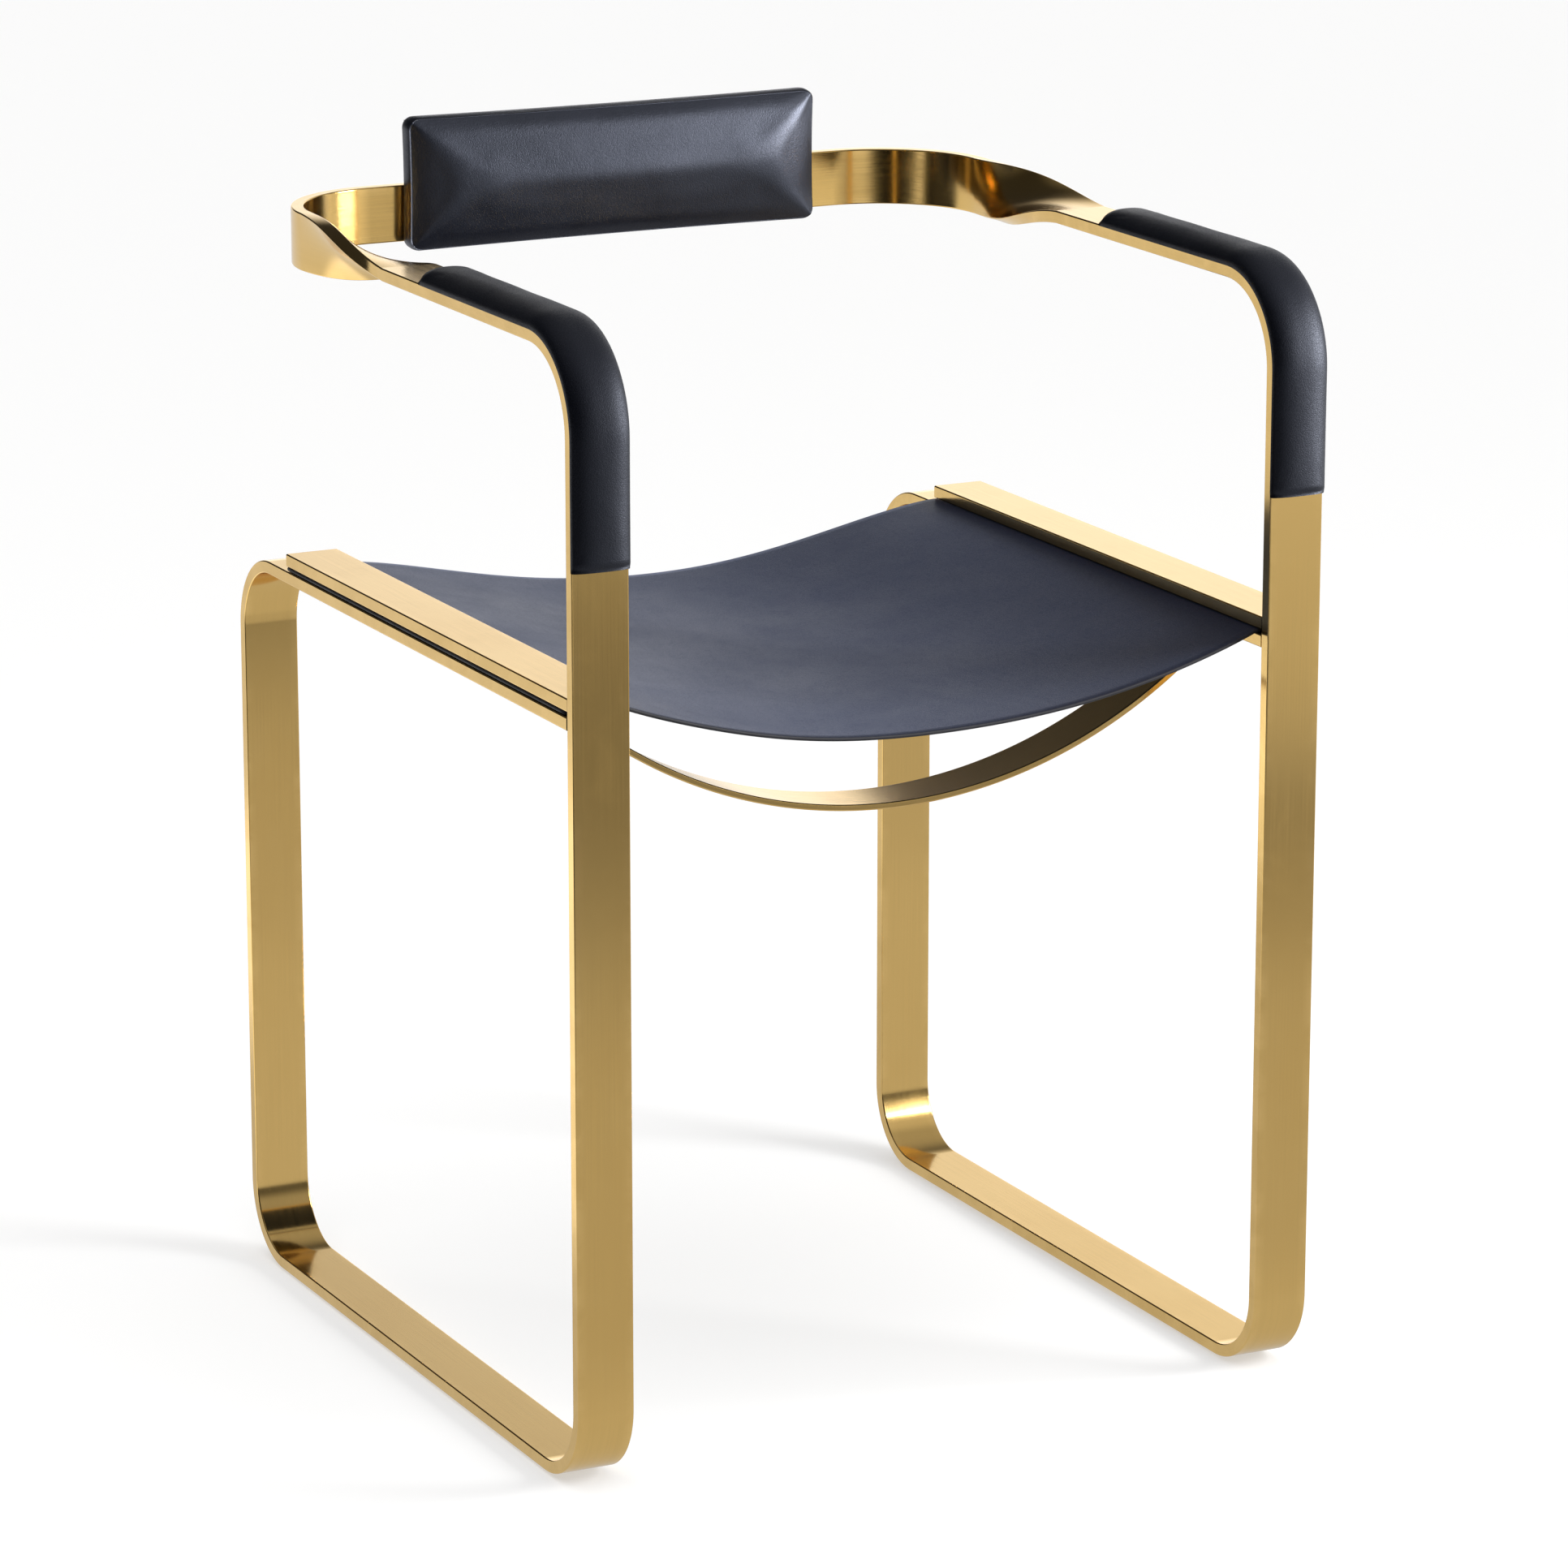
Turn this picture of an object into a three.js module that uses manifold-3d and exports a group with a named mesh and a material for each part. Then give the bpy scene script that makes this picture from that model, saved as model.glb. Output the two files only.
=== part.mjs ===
// Sled-base armchair of flat brass bar with a leather sling seat, padded arms and a back pad.
// Millimetres, +Z up. The sitter faces -Y, +X is on the right in the front view, X = 0 is the middle.
// The origin is on the floor under the middle of the chair's overall box. Until the last step
// Y is counted from the front face of the front legs.

import * as THREE from "three";
import { mergeVertices } from "three/addons/utils/BufferGeometryUtils.js";
import Module from "manifold-3d";

const wasm = await Module();
wasm.setup();

// Overall sizes of the frame
const CHAIR_WIDTH = 494; // outside to outside of the two side loops
const CHAIR_DEPTH = 508; // front of the front legs to the back of the rear legs
const RAIL_UNDER_HEIGHT = 461; // from the floor runner's underside to the seat rail's underside
const ARM_UNDER_HEIGHT = 678.5; // from the floor runner's underside to the arm's underside
const BACK_BAR_HEIGHT = 679; // from the floor runner's underside to the middle of the back bar
const BACK_BAR_SETBACK = 22; // from the back of the rear legs to the middle of the back bar

// The bar that the frame is bent from
const BAR_WIDTH = 36;
const BAR_THICKNESS = 8;
const BAR_EDGE_RADIUS = 0.9;
const FLOOR_BEND_RADIUS = 49; // outside of the bend
const REAR_TOP_BEND_RADIUS = 50; // outside of the bend
const ARM_BEND_RADIUS = 57; // outside of the bend
const HOOP_CORNER_RADIUS = 72; // middle of the bar, seen from above
const HOOP_SPREAD = 6; // how far the upright bar behind stands outside the middle of the arm
const TWIST_END_Y = 268; // the bar lies flat in front of this place
const TWIST_EASE_SHARE = 0.6; // the rest of the twist runs evenly

// The seat
const CLAMP_THICKNESS = 8;
const CLAMP_REAR_CLEARANCE = 28; // in front of the rear top bend
const CLAMP_SIDE_STEP = 0.6; // the clamp bar stands back from the rail's sides by this much
const SEAT_LEATHER_THICKNESS = 2.2;
const SEAT_FRONT_Y = 14;
const SEAT_REAR_STEP = 2; // the hide ends this far in front of the clamp bar's rear end
const SEAT_SIDE_STEP = 1.2; // the hide ends this far inside the rail's outer side
const SEAT_FRONT_SAG = 39;
const SEAT_REAR_SAG = 29;
const SEAT_FRONT_FULLNESS = 0.95; // exponent of the hanging curve at the front edge
const SEAT_REAR_FULLNESS = 1.5; // exponent of the hanging curve at the rear edge

// The curved brace under the seat
const BRACE_FRONT_Y = 74;
const BRACE_THICKNESS = 4;
const BRACE_DROP = 90; // from the seat rail's underside to the lowest point of the brace
const BRACE_END_STEP = 5; // the brace's outer ends lie this far inside the middle of the rails

// Arm pads
const ARM_PAD_START_Y = 213;
const ARM_PAD_END_HEIGHT = 554.5; // from the floor runner's underside
const ARM_LEATHER_THICKNESS = 1.5;
const ARM_PAD_WIDTH = 36.4;
const ARM_PAD_SHOULDER = 1.5; // height of the pad's upright sides
const ARM_PAD_CROWN = 6.4; // rise of the foam's round on the arm
const ARM_PAD_LEG_SHARE = 0.75; // the crown on the leg against that on the arm
const ARM_PAD_FOOT_SHARE = 0.5; // the crown at the lower end
const ARM_PAD_END_ROUND = 6; // the pad's crown dies away over this length at its rear end
const ARM_PAD_END_SHARES = [
  [0, 0.5],
  [0.35, 0.85],
]; // of that length, from the rear end, and of the crown
const ARM_PAD_FOOT_ROUND = 4; // the same at its lower end

// Back pad
const BACK_PAD_WIDTH = 284;
const BACK_PAD_HEIGHT = 83.5;
const BACK_PAD_RISE = 19.8; // middle of the pad above the middle of the back bar
const BACK_PAD_EDGE_DEPTH = 13;
const BACK_PAD_CROWN = 13;
const BACK_PAD_CORNER_RADIUS = 9;
const BACK_PAD_DRAW_IN = 0.9; // the sides pull in by this much between the corners
const BACK_PAD_SIDE_SWELL = 1.2; // the pad is this much narrower at the board than at its widest
const BACK_LEATHER_THICKNESS = 1.5;
const BACK_BOARD_THICKNESS = 8;

// Screws and feet
const SCREW_SHANK_RADIUS = 2.5;
const SCREW_HEAD_RADIUS = 4.8;
const SCREW_HEAD_HEIGHT = 2.5;
const SCREW_BITE = 5; // how far a clamp screw goes into the clamp bar
const SCREW_SOCKET_RADIUS = 1.5;
const SCREW_SOCKET_DEPTH = 1.6;
const CLAMP_SCREWS = 4; // on each side
const CLAMP_SCREW_END_MARGIN = 24; // from the hide's front and rear edge
const PAD_SCREWS = 4;
const PAD_SCREW_PITCH = 66;
const PAD_SCREW_HEAD_HEIGHT = 2.8;
const PAD_SCREW_BITE = 6;
const GLIDE_THICKNESS = 1.6;
const GLIDE_WIDTH = 24;
const GLIDE_LENGTH = 40;
const GLIDE_CORNER_RADIUS = 6;
const GLIDE_END_MARGIN = 12; // from the end of the floor bend

// Clearances
const GAP = 0.3; // between pieces that touch
const FOAM_GAP = 0.6; // between foam and its cover
const HOLE_CLEARANCE = 0.3; // radial, round a screw
const OVERRUN = 6; // of a cutting tool past the face it cuts

// How finely the round shapes are divided
const BEND_STEPS = 10;
const TWIST_STEPS = 18;
const BRACE_STEPS = 28;
const EDGE_STEPS = 2;
const ROUND_SIDES = 20;
const PAD_ARC_STEPS = 10;
const SEAT_STEPS_ACROSS = 28;
const SEAT_STEPS_DEEP = 6;

// Places that follow from the sizes above
const RUNNER_UNDER_Z = GLIDE_THICKNESS + GAP;
const RAIL_UNDER_Z = RUNNER_UNDER_Z + RAIL_UNDER_HEIGHT;
const RAIL_TOP_Z = RAIL_UNDER_Z + BAR_THICKNESS;
const SEAT_UNDER_Z = RAIL_TOP_Z + GAP;
const SEAT_TOP_Z = SEAT_UNDER_Z + SEAT_LEATHER_THICKNESS;
const CLAMP_UNDER_Z = SEAT_TOP_Z + GAP;
const ARM_MIDDLE_Z = RUNNER_UNDER_Z + ARM_UNDER_HEIGHT + BAR_THICKNESS / 2;
const BACK_MIDDLE_Z = RUNNER_UNDER_Z + BACK_BAR_HEIGHT;
const BAR_MIDDLE_X = CHAIR_WIDTH / 2 - BAR_WIDTH / 2;
const RAIL_INNER_X = CHAIR_WIDTH / 2 - BAR_WIDTH;
const LEG_MIDDLE_Y = BAR_THICKNESS / 2;
const REAR_LEG_MIDDLE_Y = CHAIR_DEPTH - BAR_THICKNESS / 2;
const REAR_TOP_BEND_Y = CHAIR_DEPTH - REAR_TOP_BEND_RADIUS;
const CLAMP_REAR_Y = REAR_TOP_BEND_Y - CLAMP_REAR_CLEARANCE;
const SEAT_REAR_Y = CLAMP_REAR_Y - SEAT_REAR_STEP;
const BACK_BAR_Y = CHAIR_DEPTH - BACK_BAR_SETBACK;
const HOOP_HALF_WIDTH = BAR_MIDDLE_X + HOOP_SPREAD;
const HOOP_CORNER_END_Y = BACK_BAR_Y - HOOP_CORNER_RADIUS;

// Materials
const material = (color, metalness, roughness) => () =>
  new THREE.MeshStandardMaterial({ color, metalness, roughness });
const brass = material(0xc9a35c, 1, 0.25);
const steel = material(0xb9b6ae, 1, 0.35);
const leather = material(0x262a3a, 0, 0.5);
const foam = material(0xd8d2bd, 0, 0.95);
const plywood = material(0xb98f5e, 0, 0.8);
const nylon = material(0xe8e6e0, 0, 0.6);

const group = new THREE.Group();

function addPiece(name, geometry, makeMaterial) {
  const mesh = new THREE.Mesh(geometry, makeMaterial());
  mesh.name = name;
  group.add(mesh);
}

const vector = (x, y, z) => new THREE.Vector3(x, y, z);
const spread = (count, make) => Array.from({ length: count }, (_, i) => make(i));
const lerp = THREE.MathUtils.lerp;
const UP = vector(0, 0, 1);

// Closed surface from rings that hold the same number of points, with both ends capped.
function loft(rings) {
  const count = rings[0].length;
  const flat = rings.flatMap((ring) => ring.flatMap((p) => [p.x, p.y, p.z]));
  const index = [];
  for (let r = 0; r + 1 < rings.length; r++) {
    for (let i = 0; i < count; i++) {
      const a = r * count + i;
      const b = r * count + ((i + 1) % count);
      index.push(a, b, b + count, a, b + count, a + count);
    }
  }
  const cap = capTriangles(rings[0]);
  const last = (rings.length - 1) * count;
  cap.forEach(([a, b, c]) => index.push(a, c, b));
  cap.forEach(([a, b, c]) => index.push(last + a, last + b, last + c));
  const geometry = new THREE.BufferGeometry();
  geometry.setAttribute("position", new THREE.Float32BufferAttribute(flat, 3));
  geometry.setIndex(index);
  if (signedVolume(geometry) < 0) geometry.setIndex(index.reverse());
  return geometry;
}

// Triangles that fill a ring, which may be hollowed, seen along its own normal.
function capTriangles(ring) {
  const normal = vector(0, 0, 0);
  const cross = vector(0, 0, 0);
  ring.forEach((p, i) => normal.add(cross.crossVectors(p, ring[(i + 1) % ring.length])));
  normal.normalize();
  const across = ring[1].clone().sub(ring[0]).normalize();
  const along = normal.clone().cross(across);
  const flat = ring.map((p) => new THREE.Vector2(p.dot(across), p.dot(along)));
  return THREE.ShapeUtils.triangulateShape(flat, []);
}

function signedVolume(geometry) {
  const place = geometry.getAttribute("position");
  const corners = [vector(0, 0, 0), vector(0, 0, 0), vector(0, 0, 0)];
  const index = geometry.getIndex().array;
  let sum = 0;
  for (let i = 0; i < index.length; i += 3) {
    corners.forEach((corner, k) => corner.fromBufferAttribute(place, index[i + k]));
    sum += corners[0].dot(corners[1].clone().cross(corners[2]));
  }
  return sum;
}

function toSolid(geometry) {
  const bare = geometry.clone();
  bare.deleteAttribute("normal");
  bare.deleteAttribute("uv");
  const merged = mergeVertices(bare);
  return new wasm.Manifold(
    new wasm.Mesh({
      numProp: 3,
      vertProperties: merged.getAttribute("position").array,
      triVerts: new Uint32Array(merged.getIndex().array),
    }),
  );
}

function cut(geometry, tools) {
  let solid = toSolid(geometry);
  for (const tool of tools) solid = solid.subtract(toSolid(tool));
  const mesh = solid.getMesh();
  const result = new THREE.BufferGeometry();
  result.setAttribute("position", new THREE.BufferAttribute(mesh.vertProperties, 3));
  result.setIndex(new THREE.BufferAttribute(mesh.triVerts, 1));
  return result;
}

// Outline of a rectangle with round corners, as [across, through] pairs.
function roundedOutline(width, height, radius, steps) {
  const corners = [
    [1, 1],
    [-1, 1],
    [-1, -1],
    [1, -1],
  ];
  return corners.flatMap(([sx, sy], quarter) =>
    spread(steps + 1, (i) => {
      const turn = ((quarter + i / steps) * Math.PI) / 2;
      return [
        sx * (width / 2 - radius) + radius * Math.cos(turn),
        sy * (height / 2 - radius) + radius * Math.sin(turn),
      ];
    }),
  );
}

const BAR_OUTLINE = roundedOutline(BAR_WIDTH, BAR_THICKNESS, BAR_EDGE_RADIUS, EDGE_STEPS);

// A station is a place on a bar: its centre, its width direction and its thickness direction.
const station = (centre, wide, thick) => ({ centre, wide, thick });

const ringAt = ({ centre, wide, thick }, outline) =>
  outline.map(([u, v]) => centre.clone().addScaledVector(wide, u).addScaledVector(thick, v));

const sweep = (stations, outline) => loft(stations.map((s) => ringAt(s, outline)));

// Stations of the side frame lie in one upright plane; turn 0 points to +Y and a quarter turn up.
function sideStation(side, y, z, turn) {
  const thick = vector(0, Math.cos(turn), Math.sin(turn));
  return station(vector(side * BAR_MIDDLE_X, y, z), vector(side, 0, 0), thick);
}

const straight = (side, turn, from, to) => [
  sideStation(side, from[0], from[1], turn),
  sideStation(side, to[0], to[1], turn),
];

// Quarter bend about the centre (y, z); the thickness direction points away from that centre.
function quarterBend(side, y, z, outerRadius, fromTurn) {
  const radius = outerRadius - BAR_THICKNESS / 2;
  return spread(BEND_STEPS + 1, (i) => {
    const turn = fromTurn + ((i / BEND_STEPS) * Math.PI) / 2;
    return sideStation(side, y + radius * Math.cos(turn), z + radius * Math.sin(turn), turn);
  });
}

// Straight bar, bend and bar ends keep half a gap each from the joint between them.
const HALF_GAP = GAP / 2;

function trimmedBend(stations) {
  const ends = [0, stations.length - 1];
  ends.forEach((end) => {
    const inner = end === 0 ? 1 : end - 1;
    const step = stations[inner].centre.clone().sub(stations[end].centre).setLength(HALF_GAP);
    stations[end] = { ...stations[end], centre: stations[end].centre.clone().add(step) };
  });
  return stations;
}

// Hoop: arm, twist, corner and back bar

// Share of the quarter twist at a share of the way along it.
function twistShare(way) {
  const eased = way * way * (3 - 2 * way);
  return TWIST_EASE_SHARE * eased + (1 - TWIST_EASE_SHARE) * way;
}

// The bar stands upright at way 0, the end of the corner, and lies flat at way 1.
function hoopStation(side, x, y, outward, way) {
  const turn = (twistShare(way) * Math.PI) / 2;
  const rise = way * way * (3 - 2 * way);
  const out = vector(side * outward.x, outward.y, 0);
  const centre = vector(side * x, y, lerp(BACK_MIDDLE_Z, ARM_MIDDLE_Z, rise));
  const wide = UP.clone().multiplyScalar(Math.cos(turn)).addScaledVector(out, Math.sin(turn));
  const thick = out.clone().multiplyScalar(Math.cos(turn)).addScaledVector(UP, -Math.sin(turn));
  return station(centre, wide, thick);
}

function cornerStation(side, turn) {
  const out = vector(Math.sin(turn), Math.cos(turn), 0);
  const x = HOOP_HALF_WIDTH - HOOP_CORNER_RADIUS * (1 - out.x);
  const y = BACK_BAR_Y - HOOP_CORNER_RADIUS * (1 - out.y);
  return hoopStation(side, x, y, out, 0);
}

function twistStation(side, share) {
  const inward = share * share * (3 - 2 * share);
  const x = lerp(HOOP_HALF_WIDTH, BAR_MIDDLE_X, inward);
  const y = lerp(HOOP_CORNER_END_Y, TWIST_END_Y, share);
  return hoopStation(side, x, y, vector(1, 0, 0), share);
}

// Screws point along +Z, with the underside of the head on z = 0.

function lathe(profile) {
  const points = profile.map(([r, z]) => new THREE.Vector2(r, z));
  return new THREE.LatheGeometry(points, ROUND_SIDES).rotateX(Math.PI / 2);
}

// Countersunk: the cone ends flush with the rail's underside.
const CLAMP_SCREW_TIP = BAR_THICKNESS + CLAMP_UNDER_Z - RAIL_TOP_Z + SCREW_BITE;
const clampScrewGeometry = () =>
  lathe([
    [0, SCREW_SOCKET_DEPTH],
    [SCREW_SOCKET_RADIUS, SCREW_SOCKET_DEPTH],
    [SCREW_SOCKET_RADIUS, 0],
    [SCREW_HEAD_RADIUS, 0],
    [SCREW_SHANK_RADIUS, SCREW_HEAD_HEIGHT],
    [SCREW_SHANK_RADIUS, CLAMP_SCREW_TIP],
    [0, CLAMP_SCREW_TIP],
  ]);

// The room that a clamp screw takes in what it passes through, a clearance wider all round.
const clampScrewRoom = () =>
  lathe([
    [0, -OVERRUN],
    [SCREW_HEAD_RADIUS + HOLE_CLEARANCE, -OVERRUN],
    [SCREW_HEAD_RADIUS + HOLE_CLEARANCE, HOLE_CLEARANCE],
    [SCREW_SHANK_RADIUS + HOLE_CLEARANCE, SCREW_HEAD_HEIGHT + HOLE_CLEARANCE],
    [SCREW_SHANK_RADIUS + HOLE_CLEARANCE, CLAMP_SCREW_TIP + HOLE_CLEARANCE],
    [0, CLAMP_SCREW_TIP + HOLE_CLEARANCE],
  ]);

const clampScrewPlaces = spread(CLAMP_SCREWS, (i) =>
  lerp(
    SEAT_FRONT_Y + CLAMP_SCREW_END_MARGIN,
    SEAT_REAR_Y - CLAMP_SCREW_END_MARGIN,
    i / (CLAMP_SCREWS - 1),
  ),
);

const clampScrewTools = (side) =>
  clampScrewPlaces.map((y) => clampScrewRoom().translate(side * BAR_MIDDLE_X, y, RAIL_UNDER_Z));

// Back pad screws run towards -Y from the back of the back bar.
const PAD_SCREW_TIP = BAR_THICKNESS + GAP + PAD_SCREW_BITE;
const padScrewGeometry = () =>
  lathe([
    [0, SCREW_SOCKET_DEPTH - PAD_SCREW_HEAD_HEIGHT],
    [SCREW_SOCKET_RADIUS, SCREW_SOCKET_DEPTH - PAD_SCREW_HEAD_HEIGHT],
    [SCREW_SOCKET_RADIUS, -PAD_SCREW_HEAD_HEIGHT],
    [SCREW_HEAD_RADIUS - PAD_SCREW_HEAD_HEIGHT / 2, -PAD_SCREW_HEAD_HEIGHT],
    [SCREW_HEAD_RADIUS, -PAD_SCREW_HEAD_HEIGHT / 2],
    [SCREW_HEAD_RADIUS, -GAP],
    [SCREW_SHANK_RADIUS, -GAP],
    [SCREW_SHANK_RADIUS, PAD_SCREW_TIP],
    [0, PAD_SCREW_TIP],
  ]);

const padScrewRoom = () =>
  lathe([
    [0, -OVERRUN],
    [SCREW_SHANK_RADIUS + HOLE_CLEARANCE, -OVERRUN],
    [SCREW_SHANK_RADIUS + HOLE_CLEARANCE, PAD_SCREW_TIP + HOLE_CLEARANCE],
    [0, PAD_SCREW_TIP + HOLE_CLEARANCE],
  ]);

const BACK_BAR_REAR_Y = BACK_BAR_Y + BAR_THICKNESS / 2;
const padScrewPlaces = spread(PAD_SCREWS, (i) => (i - (PAD_SCREWS - 1) / 2) * PAD_SCREW_PITCH);
const atPadScrew = (geometry, x) =>
  geometry.rotateX(Math.PI / 2).translate(x, BACK_BAR_REAR_Y, BACK_MIDDLE_Z);
const padScrewTools = padScrewPlaces.map((x) => atPadScrew(padScrewRoom(), x));

// Arm pads: sections across the arm, with the thickness direction pointing down into the bar.

// Upright sides and a half ellipse over the bar's face, set in by a distance all round.
function padArch(inset, crownShare) {
  const halfWidth = ARM_PAD_WIDTH / 2 - inset;
  const base = BAR_THICKNESS / 2 + GAP;
  const shoulder = base + ARM_PAD_SHOULDER;
  const crown = ARM_PAD_CROWN * crownShare + ARM_LEATHER_THICKNESS - inset;
  const arch = spread(PAD_ARC_STEPS + 1, (i) => {
    const turn = (i / PAD_ARC_STEPS) * Math.PI;
    return [halfWidth * Math.cos(turn), shoulder + crown * Math.sin(turn)];
  });
  return [[halfWidth, base], ...arch, [-halfWidth, base]];
}

const upsideDown = (outline) => outline.map(([u, v]) => [u, -v]);

const coverOutline = (crownShare) =>
  upsideDown([
    ...padArch(0, crownShare),
    ...padArch(ARM_LEATHER_THICKNESS, crownShare).reverse(),
  ]);

const armFoamOutline = (crownShare) =>
  upsideDown(padArch(ARM_LEATHER_THICKNESS + FOAM_GAP, crownShare));

const ARM_BEND_Y = ARM_BEND_RADIUS;
const ARM_BEND_Z = ARM_MIDDLE_Z + BAR_THICKNESS / 2 - ARM_BEND_RADIUS;
const DOWN_TURN = -Math.PI / 2;

// The arm seen as one path: back end of the pad, arm bar, bend, front leg down to the pad's foot.
// The thickness direction points to the underside of the arm and the back of the leg.
function armPadPath(side) {
  const footZ = RUNNER_UNDER_Z + ARM_PAD_END_HEIGHT;
  const radius = ARM_BEND_RADIUS - BAR_THICKNESS / 2;
  const flat = (y) => [y, ARM_MIDDLE_Z, DOWN_TURN];
  const upright = (z) => [LEG_MIDDLE_Y, z, 0];
  const bend = spread(BEND_STEPS - 1, (i) => {
    const share = (i + 1) / BEND_STEPS;
    const turn = (share * Math.PI) / 2;
    const y = ARM_BEND_Y - radius * Math.sin(turn);
    const place = [y, ARM_BEND_Z + radius * Math.cos(turn), DOWN_TURN + turn];
    return [lerp(1, ARM_PAD_LEG_SHARE, share), place];
  });
  const rearEnd = ARM_PAD_END_SHARES.map(([along, crownShare]) => [
    crownShare,
    flat(ARM_PAD_START_Y - along * ARM_PAD_END_ROUND),
  ]);
  const path = [
    ...rearEnd,
    [1, flat(ARM_PAD_START_Y - ARM_PAD_END_ROUND)],
    [1, flat(ARM_BEND_Y)],
    ...bend,
    [ARM_PAD_LEG_SHARE, upright(ARM_BEND_Z)],
    [ARM_PAD_LEG_SHARE, upright(footZ + ARM_PAD_FOOT_ROUND)],
    [ARM_PAD_FOOT_SHARE, upright(footZ)],
  ];
  return path.map(([crownShare, [y, z, turn]]) => [crownShare, sideStation(side, y, z, turn)]);
}

const armPadSweep = (side, outline) =>
  loft(armPadPath(side).map(([crownShare, place]) => ringAt(place, outline(crownShare))));

// Seat hide

// Height lost by the hide at x, y, below the rails.
function sagAt(x, y) {
  const reach = Math.max(0, 1 - (x / RAIL_INNER_X) ** 2);
  const back = (y - SEAT_FRONT_Y) / (SEAT_REAR_Y - SEAT_FRONT_Y);
  const fullness = lerp(SEAT_FRONT_FULLNESS, SEAT_REAR_FULLNESS, back);
  return lerp(SEAT_FRONT_SAG, SEAT_REAR_SAG, back) * reach ** fullness;
}

function seatGeometry() {
  const edgeX = CHAIR_WIDTH / 2 - SEAT_SIDE_STEP;
  const hanging = spread(SEAT_STEPS_ACROSS + 1, (i) =>
    lerp(-RAIL_INNER_X, RAIL_INNER_X, i / SEAT_STEPS_ACROSS),
  );
  const across = [-edgeX, ...hanging, edgeX];
  const rows = spread(SEAT_STEPS_DEEP + 1, (j) =>
    lerp(SEAT_FRONT_Y, SEAT_REAR_Y, j / SEAT_STEPS_DEEP),
  );
  const line = (y, z) => across.map((x) => vector(x, y, z - sagAt(x, y)));
  return loft(rows.map((y) => [...line(y, SEAT_TOP_Z), ...line(y, SEAT_UNDER_Z).reverse()]));
}

// Brace: a bow of flat bar in the XZ plane, its ends cut level under the seat rails.
function braceGeometry() {
  const top = RAIL_UNDER_Z - GAP;
  const reach = BAR_MIDDLE_X - BRACE_END_STEP;
  const radius = (reach * reach + BRACE_DROP * BRACE_DROP) / (2 * BRACE_DROP);
  const centreZ = RAIL_UNDER_Z - BRACE_DROP + radius;
  const innerRadius = radius - BRACE_THICKNESS;
  const arc = (r) => {
    const half = Math.acos((centreZ - top) / r);
    return spread(BRACE_STEPS + 1, (i) => {
      const turn = lerp(-half, half, i / BRACE_STEPS);
      return [r * Math.sin(turn), centreZ - r * Math.cos(turn)];
    });
  };
  const outline = [...arc(radius), ...arc(innerRadius).reverse()];
  const ring = (y) => outline.map(([x, z]) => vector(x, y, z));
  return loft([ring(BRACE_FRONT_Y), ring(BRACE_FRONT_Y + BAR_WIDTH)]);
}

// Back pad: rings that follow the pad's outline at each depth in front of the back bar.

const PAD_REAR_Y = BACK_BAR_Y - BAR_THICKNESS / 2 - GAP;
const PAD_MIDDLE_Z = BACK_MIDDLE_Z + BACK_PAD_RISE;
const PAD_SIDE_STEPS = 4;

// Outline set in by a distance, with its sides drawn in between the corners.
function padOutline(inset) {
  const halfWidth = BACK_PAD_WIDTH / 2 - inset;
  const halfHeight = BACK_PAD_HEIGHT / 2 - inset;
  const radius = (BACK_PAD_CORNER_RADIUS * halfHeight) / (BACK_PAD_HEIGHT / 2);
  const corners = roundedOutline(2 * halfWidth, 2 * halfHeight, radius, EDGE_STEPS);
  const perCorner = EDGE_STEPS + 1;
  const points = corners.flatMap((from, i) => {
    if (i % perCorner < EDGE_STEPS) return [from];
    const to = corners[(i + 1) % corners.length];
    return spread(PAD_SIDE_STEPS, (k) => [
      lerp(from[0], to[0], k / PAD_SIDE_STEPS),
      lerp(from[1], to[1], k / PAD_SIDE_STEPS),
    ]);
  });
  return points.map(([u, v]) => [
    u - Math.sign(u) * BACK_PAD_DRAW_IN * (1 - (v / halfHeight) ** 2) * (u / halfWidth) ** 2,
    v - Math.sign(v) * BACK_PAD_DRAW_IN * (1 - (u / halfWidth) ** 2) * (v / halfHeight) ** 2,
  ]);
}

const padRing = (inset, depth) =>
  padOutline(inset).map(([u, v]) => vector(u, PAD_REAR_Y - depth, PAD_MIDDLE_Z + v));

// Shares of the pad's half height and of its crown along the way from the edge to the middle.
const CROWN_SHARES = [
  [0.05, 0.16],
  [0.15, 0.4],
  [0.32, 0.66],
  [0.55, 0.87],
  [0.8, 0.985],
];

// The pad's form, set in by a distance all round; its rear face lies at rearDepth.
function padForm(inset, rearDepth) {
  const halfHeight = BACK_PAD_HEIGHT / 2;
  const edgeDepth = BACK_PAD_EDGE_DEPTH - inset;
  const crown = CROWN_SHARES.map(([inShare, riseShare]) =>
    padRing(inset + inShare * (halfHeight - inset), edgeDepth + BACK_PAD_CROWN * riseShare),
  );
  return loft([
    padRing(inset + BACK_PAD_SIDE_SWELL, rearDepth),
    padRing(inset, Math.max(rearDepth, 0) + (edgeDepth - Math.max(rearDepth, 0)) / 2),
    padRing(inset, edgeDepth),
    ...crown,
  ]);
}

const coverInset = BACK_LEATHER_THICKNESS;
const contentInset = BACK_LEATHER_THICKNESS + FOAM_GAP;
const foamRearDepth = BACK_BOARD_THICKNESS + GAP;

function boardGeometry() {
  const inset = contentInset + BACK_PAD_SIDE_SWELL;
  return cut(loft([padRing(inset, 0), padRing(inset, BACK_BOARD_THICKNESS)]), padScrewTools);
}

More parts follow.
